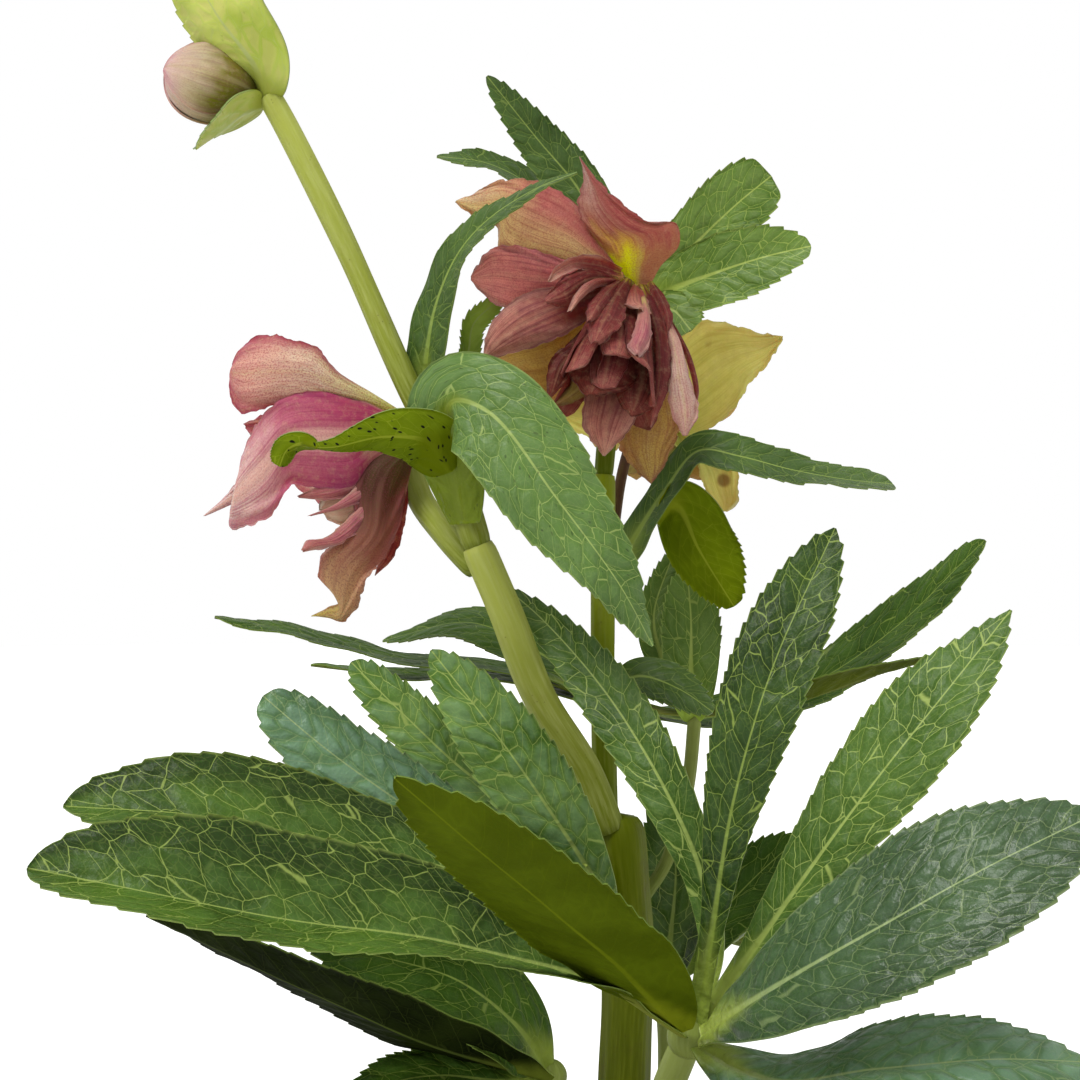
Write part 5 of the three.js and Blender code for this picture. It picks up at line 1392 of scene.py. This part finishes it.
# The pot, the compost in it and the woody crown.
pot = {
    "height": 145, "rimRadius": 85, "baseRadius": 61, "wall": 1.8, "floor": 3, "rimBand": 10, "rimOut": 3,
    "bead": 0.6, "drains": 5, "drainRadius": 6, "drainCircle": 42, "drillLength": 20, "drillSides": 40,
    "sides": 144, "colour": "1B1D1D", "scuff": "3C3D3B", "splash": "4A4034",
}
soil = {
    "level": 131, "crowning": 3, "gap": 0.3, "depth": 12, "rings": 60, "sides": 150, "unevenness": 0.6,
    "dark": "1E140D", "light": "3E2C1E", "damp": "150E09", "seed": 11,
}
chunks = {
    "crumbs": {"count": 2600, "sizes": (0.5, 1.7), "squash": 0.8, "tones": ("1E140D", "3E2C1E"),
        "rough": 0.8},
    "bark_flakes": {"count": 260, "sizes": (1.2, 2.6), "squash": 0.35, "tones": ("2E1E14", "5E4630"),
        "rough": 0.7},
    "perlite_grains": {"count": 150, "sizes": (0.6, 1.3), "squash": 0.9, "tones": ("A8A59C", "D6D3CA"),
        "rough": 0.8},
}
crown = {
    "radius": 15, "top": 139, "bottom": 121, "rows": 39, "sides": 96, "bark": "2E2010", "colour": "5A4A26",
    "tip": "7F7A34", "tipFrom": 132,
}


def potFinish():
    material, tree, shader = newFinish("pot_plastic")
    where = objectPlace(tree)
    grain = cloud(tree, where, 1400.0, 2.0)
    dust = cloud(tree, where, 38.0, 5.0, 0.65)
    colour = blend(tree, fade(tree, dust, 0.5, 0.72, 0, 0.5), tone(pot["colour"]), tone(pot["scuff"]))
    height = split(tree, where)[2]
    splash = times(tree, fade(tree, height, 0.0, 0.05, 0.5, 0), fade(tree, dust, 0.42, 0.6))
    colour = blend(tree, splash, colour, tone(pot["splash"]))
    paint(tree, shader, colour, scaled(tree, dust, 0.35, 0.3))
    bump(tree, shader, plus(tree, grain, dust), 0.25, 0.0004)
    return material


def latheSheet(profile, sides):
    turn = np.linspace(0, 2 * math.pi, sides + 1)
    profile = np.array(profile, float)
    radius, height = profile[:, 0][:, None], profile[:, 1][:, None]
    return np.stack([radius * np.cos(turn), radius * np.sin(turn), height + 0 * turn], -1)


def wallRadius(z):
    return pot["baseRadius"] + (pot["rimRadius"] - pot["rimOut"] - pot["baseRadius"]) * z / pot["height"]


# Points of the pot's section as (radius, height): up the outside, over the rim and down to the floor.
def potProfile():
    rim, top, base = pot["rimRadius"], pot["height"], pot["baseRadius"]
    band = top - pot["rimBand"]
    inner = rim - pot["rimOut"] - pot["wall"]
    profile = [(0.01, 0), (base - 2, 0), (base - 0.4, 0.4), (wallRadius(2.5), 2.5)]
    profile += [(wallRadius(z), z) for z in np.linspace(5, band - 14, 14)]
    for drop, out in ((9, 0), (8.4, pot["bead"]), (6.6, pot["bead"]), (6, 0), (0.6, 0)):
        profile.append((wallRadius(band - drop) + out, band - drop))
    profile += [(wallRadius(band) + 0.5, band), (rim - 1.2, band), (rim - 0.6, band + 0.5),
                (rim - 0.1, top - 1.4), (rim - 0.4, top - 0.4), (rim - 1.2, top), (inner + 0.8, top),
                (inner + 0.2, top - 0.5), (inner, top - 1.5)]
    profile += [(wallRadius(z) - pot["wall"], z) for z in np.linspace(band, pot["floor"] + 2, 8)]
    return profile + [(wallRadius(pot["floor"]) - pot["wall"] - 1, pot["floor"]), (0.01, pot["floor"])]


def drillDrains(piece):
    drills = []
    for k in range(pot["drains"]):
        turn = 2 * math.pi * k / pot["drains"]
        spot = (pot["drainCircle"] * math.cos(turn) * mm, pot["drainCircle"] * math.sin(turn) * mm, 0)
        bpy.ops.mesh.primitive_cylinder_add(vertices=pot["drillSides"], radius=pot["drainRadius"] * mm,
                                            depth=pot["drillLength"] * mm, location=spot)
        drill = bpy.context.object
        cut = piece.modifiers.new("drain", "BOOLEAN")
        cut.object, cut.operation, cut.solver = drill, "DIFFERENCE", "EXACT"
        drills.append(drill)
    bpy.context.view_layer.objects.active = piece
    for cut in list(piece.modifiers):
        bpy.ops.object.modifier_apply(modifier=cut.name)
    for drill in drills:
        bpy.data.objects.remove(drill)


def makePot():
    grid = latheSheet(potProfile(), pot["sides"])[:, :-1]
    rows, columns = grid.shape[:2]
    index = np.arange(rows * columns).reshape(rows, columns)
    turned = np.roll(index, -1, 1)
    quads = np.stack([index[:-1], turned[:-1], turned[1:], index[1:]], -1).reshape(-1, 4)
    caps = [index[0][::-1].tolist(), index[-1].tolist()]
    mesh = bpy.data.meshes.new("pot_look")
    mesh.from_pydata((grid.reshape(-1, 3) * mm).tolist(), [], quads.tolist() + caps)
    mesh.materials.append(potFinish())
    mesh.shade_smooth()
    piece = putInScene("pot_look", mesh)
    drillDrains(piece)
    return piece


settle(makePot(), "pot")


def soilFinish():
    material, tree, shader = newFinish("compost")
    where = objectPlace(tree)
    clumps = cloud(tree, where, 160.0, 5.0, 0.7)
    damp = cloud(tree, where, 22.0, 3.0)
    colour = blend(tree, fade(tree, clumps, 0.35, 0.7), tone(soil["dark"]), tone(soil["light"]))
    colour = blend(tree, fade(tree, damp, 0.45, 0.65, 0, 0.4), colour, tone(soil["damp"]))
    paint(tree, shader, colour, scaled(tree, damp, -0.3, 1.0))
    bump(tree, shader, clumps, 0.9, 0.002)
    return material


def chunkFinish(name, chunk):
    material, tree, shader = newFinish(name)
    grain = cloud(tree, objectPlace(tree), 420.0, 4.0, 0.7)
    dark, light = chunk["tones"]
    colour = blend(tree, fade(tree, grain, 0.35, 0.7), tone(dark), tone(light))
    paint(tree, shader, colour, scaled(tree, grain, 0.2, chunk["rough"]))
    bump(tree, shader, grain, 0.7, 0.001)
    return material


# A lump with ten corners: four of a cube's, and one out of the middle of each of its six sides.
def lump():
    corners = [(1, 1, 1), (-1, -1, 1), (-1, 1, -1), (1, -1, -1)]
    for axis in range(3):
        for way in (1.6, -1.6):
            corners.append(tuple(way * (k == axis) for k in range(3)))
    hull = [(0, 6, 8), (0, 8, 4), (0, 4, 6), (1, 5, 8), (1, 8, 7), (1, 7, 5), (2, 6, 5), (2, 5, 9),
            (2, 9, 6), (3, 4, 7), (3, 9, 4), (3, 7, 9), (4, 8, 7), (5, 6, 8), (4, 9, 6), (5, 7, 9)]
    return np.array(corners, float), np.array(hull)


# Chunks strewn on the compost, all of one kind.
def strewChunks(random, chunk, kind):
    solid, hull = lump()
    outer = wallRadius(soil["level"]) - pot["wall"] - 3
    points, faces, kinds = [], [], []
    for _ in range(chunk["count"]):
        away = outer * math.sqrt(random.uniform(0.035, 1))
        turn = random.uniform(0, 2 * math.pi)
        size = random.uniform(*chunk["sizes"])
        spin = np.linalg.qr(random.normal(size=(3, 3)))[0]
        body = solid * random.uniform(0.7, 1.2, (10, 1)) * size * np.array([1, 1, chunk["squash"]]) @ spin
        height = soil["level"] + soil["crowning"] * (1 - away / outer) + size * 0.25
        points.append(body + np.array([away * math.cos(turn), away * math.sin(turn), height]))
        faces.append(hull)
        kinds.append(np.full(len(hull), kind))
    return points, faces, kinds


# The uneven top of the compost, with a short wall that goes down inside the pot.
def soilSurface(random):
    outer = wallRadius(soil["level"]) - pot["wall"] - soil["gap"]
    rings, sides = soil["rings"], soil["sides"]
    radius = outer * np.linspace(0.002, 1, rings)[:, None]
    turn = np.linspace(0, 2 * math.pi, sides, endpoint=False)[None, :]
    x, y = radius * np.cos(turn), radius * np.sin(turn)
    bumps = sum(np.sin(x * a + p) * np.sin(y * b + q) * d for a, b, p, q, d in
                zip(random.uniform(0.1, 1.6, 24), random.uniform(0.1, 1.6, 24), random.uniform(0, 6, 24),
                    random.uniform(0, 6, 24), random.uniform(0.1, 0.45, 24)))
    height = soil["level"] + soil["crowning"] * (1 - radius / outer) + bumps * soil["unevenness"]
    surface = np.stack([x, y, height], -1)
    wall = np.stack([x[-1] * 0.985, y[-1] * 0.985, 0 * x[-1] + soil["level"] - soil["depth"]], -1)
    index = np.arange((rings + 1) * sides).reshape(rings + 1, sides)
    turned = np.roll(index, -1, 1)
    quads = np.stack([index[:-1], index[1:], turned[1:], turned[:-1]], -1).reshape(-1, 4)
    return np.vstack([surface.reshape(-1, 3), wall]), quads


def makeSoil():
    random = np.random.default_rng(soil["seed"])
    surface, quads = soilSurface(random)
    points, faces, kinds = [surface], [quads], [np.zeros(len(quads), int)]
    start = len(surface)
    for k, chunk in enumerate(chunks.values()):
        morePoints, moreFaces, moreKinds = strewChunks(random, chunk, k + 1)
        for part, hull in zip(morePoints, moreFaces):
            faces.append(hull + start)
            start += len(part)
        points += morePoints
        kinds += moreKinds
    dress = [soilFinish()] + [chunkFinish(name, chunk) for name, chunk in chunks.items()]
    return makeMesh("soil_look", points, faces, np.concatenate(kinds), dress)


settle(makeSoil(), "soil")


def crownFinish():
    material, tree, shader = newFinish("woody_crown")
    x, y, z = split(tree, objectPlace(tree))
    bark = cloud(tree, combine(tree, x, y, times(tree, z, 0.4)), 260.0, 5.0, 0.65)
    colour = blend(tree, fade(tree, bark, 0.35, 0.65), tone(crown["bark"]), tone(crown["colour"]))
    tip = fade(tree, z, crown["tipFrom"] * mm, crown["top"] * mm, 0, 0.7)
    colour = blend(tree, tip, colour, tone(crown["tip"]))
    paint(tree, shader, colour, scaled(tree, bark, 0.3, 0.55))
    bump(tree, shader, bark, 0.8, 0.001)
    return material


def makeCrown():
    t = np.linspace(0, 1, crown["rows"] + 1)[:, None]
    turn = np.linspace(0, 2 * math.pi, crown["sides"] + 1)[None, :]
    radius = crown["radius"] * np.sin(math.pi * (0.16 + 0.8 * t)) ** 0.6
    lobes = 1 + 0.09 * np.sin(5 * turn + 3 * t) + 0.04 * np.sin(13 * turn) + 0.03 * wobble(9 * t, 4)
    height = crown["bottom"] + (crown["top"] - crown["bottom"]) * t + 0 * turn
    top = np.stack([radius * lobes * np.cos(turn), radius * lobes * np.sin(turn), height], -1)
    spot = plainPlaces(turn / math.pi - 1, t)
    under = top * np.array([0.9, 0.9, 1.0])
    sheet = {"top": top, "under": under, "flat": spot[..., :2], "place": spot}
    return makeSheets("crown_look", [sheet], [crownFinish()] * 2)


settle(makeCrown(), "crown")
print("hellebore: pot, compost and crown made")

# Pale floor, soft light and the camera.
studio = {
    "floorRadius": 6.0, "floorSides": 96, "floorDrop": 0.0002, "floorColour": "FFFFFF",
    "floorCloud": "FAFAF9", "floorLight": 0.8, "skyStrength": 1.0, "sunStrength": 3.0, "sunAngle": 30,
    "sunFrom": (-0.45, -0.6, 1.0), "lens": 69.33, "sensor": 36, "camera": (-0.01875, -0.52, 0.325),
}


def makeFloor():
    turn = np.linspace(0, 2 * math.pi, studio["floorSides"], endpoint=False)
    size = np.array([studio["floorRadius"], studio["floorRadius"], 1])
    ring = np.stack([np.cos(turn), np.sin(turn), 0 * turn - studio["floorDrop"]], -1) * size
    mesh = bpy.data.meshes.new("floor")
    mesh.from_pydata(ring.tolist(), [], [list(range(studio["floorSides"]))])
    floor = putInScene("floor", mesh)
    material, tree, shader = newFinish("pale_floor")
    low, high = (tone(studio[key], studio["floorLight"]) for key in ("floorColour", "floorCloud"))
    colour = blend(tree, cloud(tree, objectPlace(tree), 3.0), low, high)
    tree.links.new(colour, shader.inputs["Base Color"])
    shader.inputs["Roughness"].default_value = 0.9
    mesh.materials.append(material)


def makeLight():
    world = bpy.data.worlds.new("studio")
    bpy.context.scene.world = world
    world.use_nodes = True
    sky = world.node_tree.nodes["Background"]
    sky.inputs["Color"].default_value = (1, 1, 1, 1)
    sky.inputs["Strength"].default_value = studio["skyStrength"]
    sun = bpy.data.lights.new("soft_light", "SUN")
    sun.energy = studio["sunStrength"]
    sun.angle = math.radians(studio["sunAngle"])
    lamp = putInScene("soft_light", sun)
    lamp.rotation_mode = "QUATERNION"
    lamp.rotation_quaternion = Vector(studio["sunFrom"]).to_track_quat("Z", "Y")


def makeCamera():
    lens = bpy.data.cameras.new("front_view")
    lens.lens = studio["lens"]
    lens.sensor_width = studio["sensor"]
    lens.clip_start = 0.01
    camera = putInScene("front_view", lens)
    camera.location = studio["camera"]
    camera.rotation_euler = (math.radians(90), 0, 0)
    bpy.context.scene.camera = camera
    bpy.context.scene.view_settings.view_transform = "Standard"


makeFloor()
makeLight()
makeCamera()
print("hellebore: studio set")
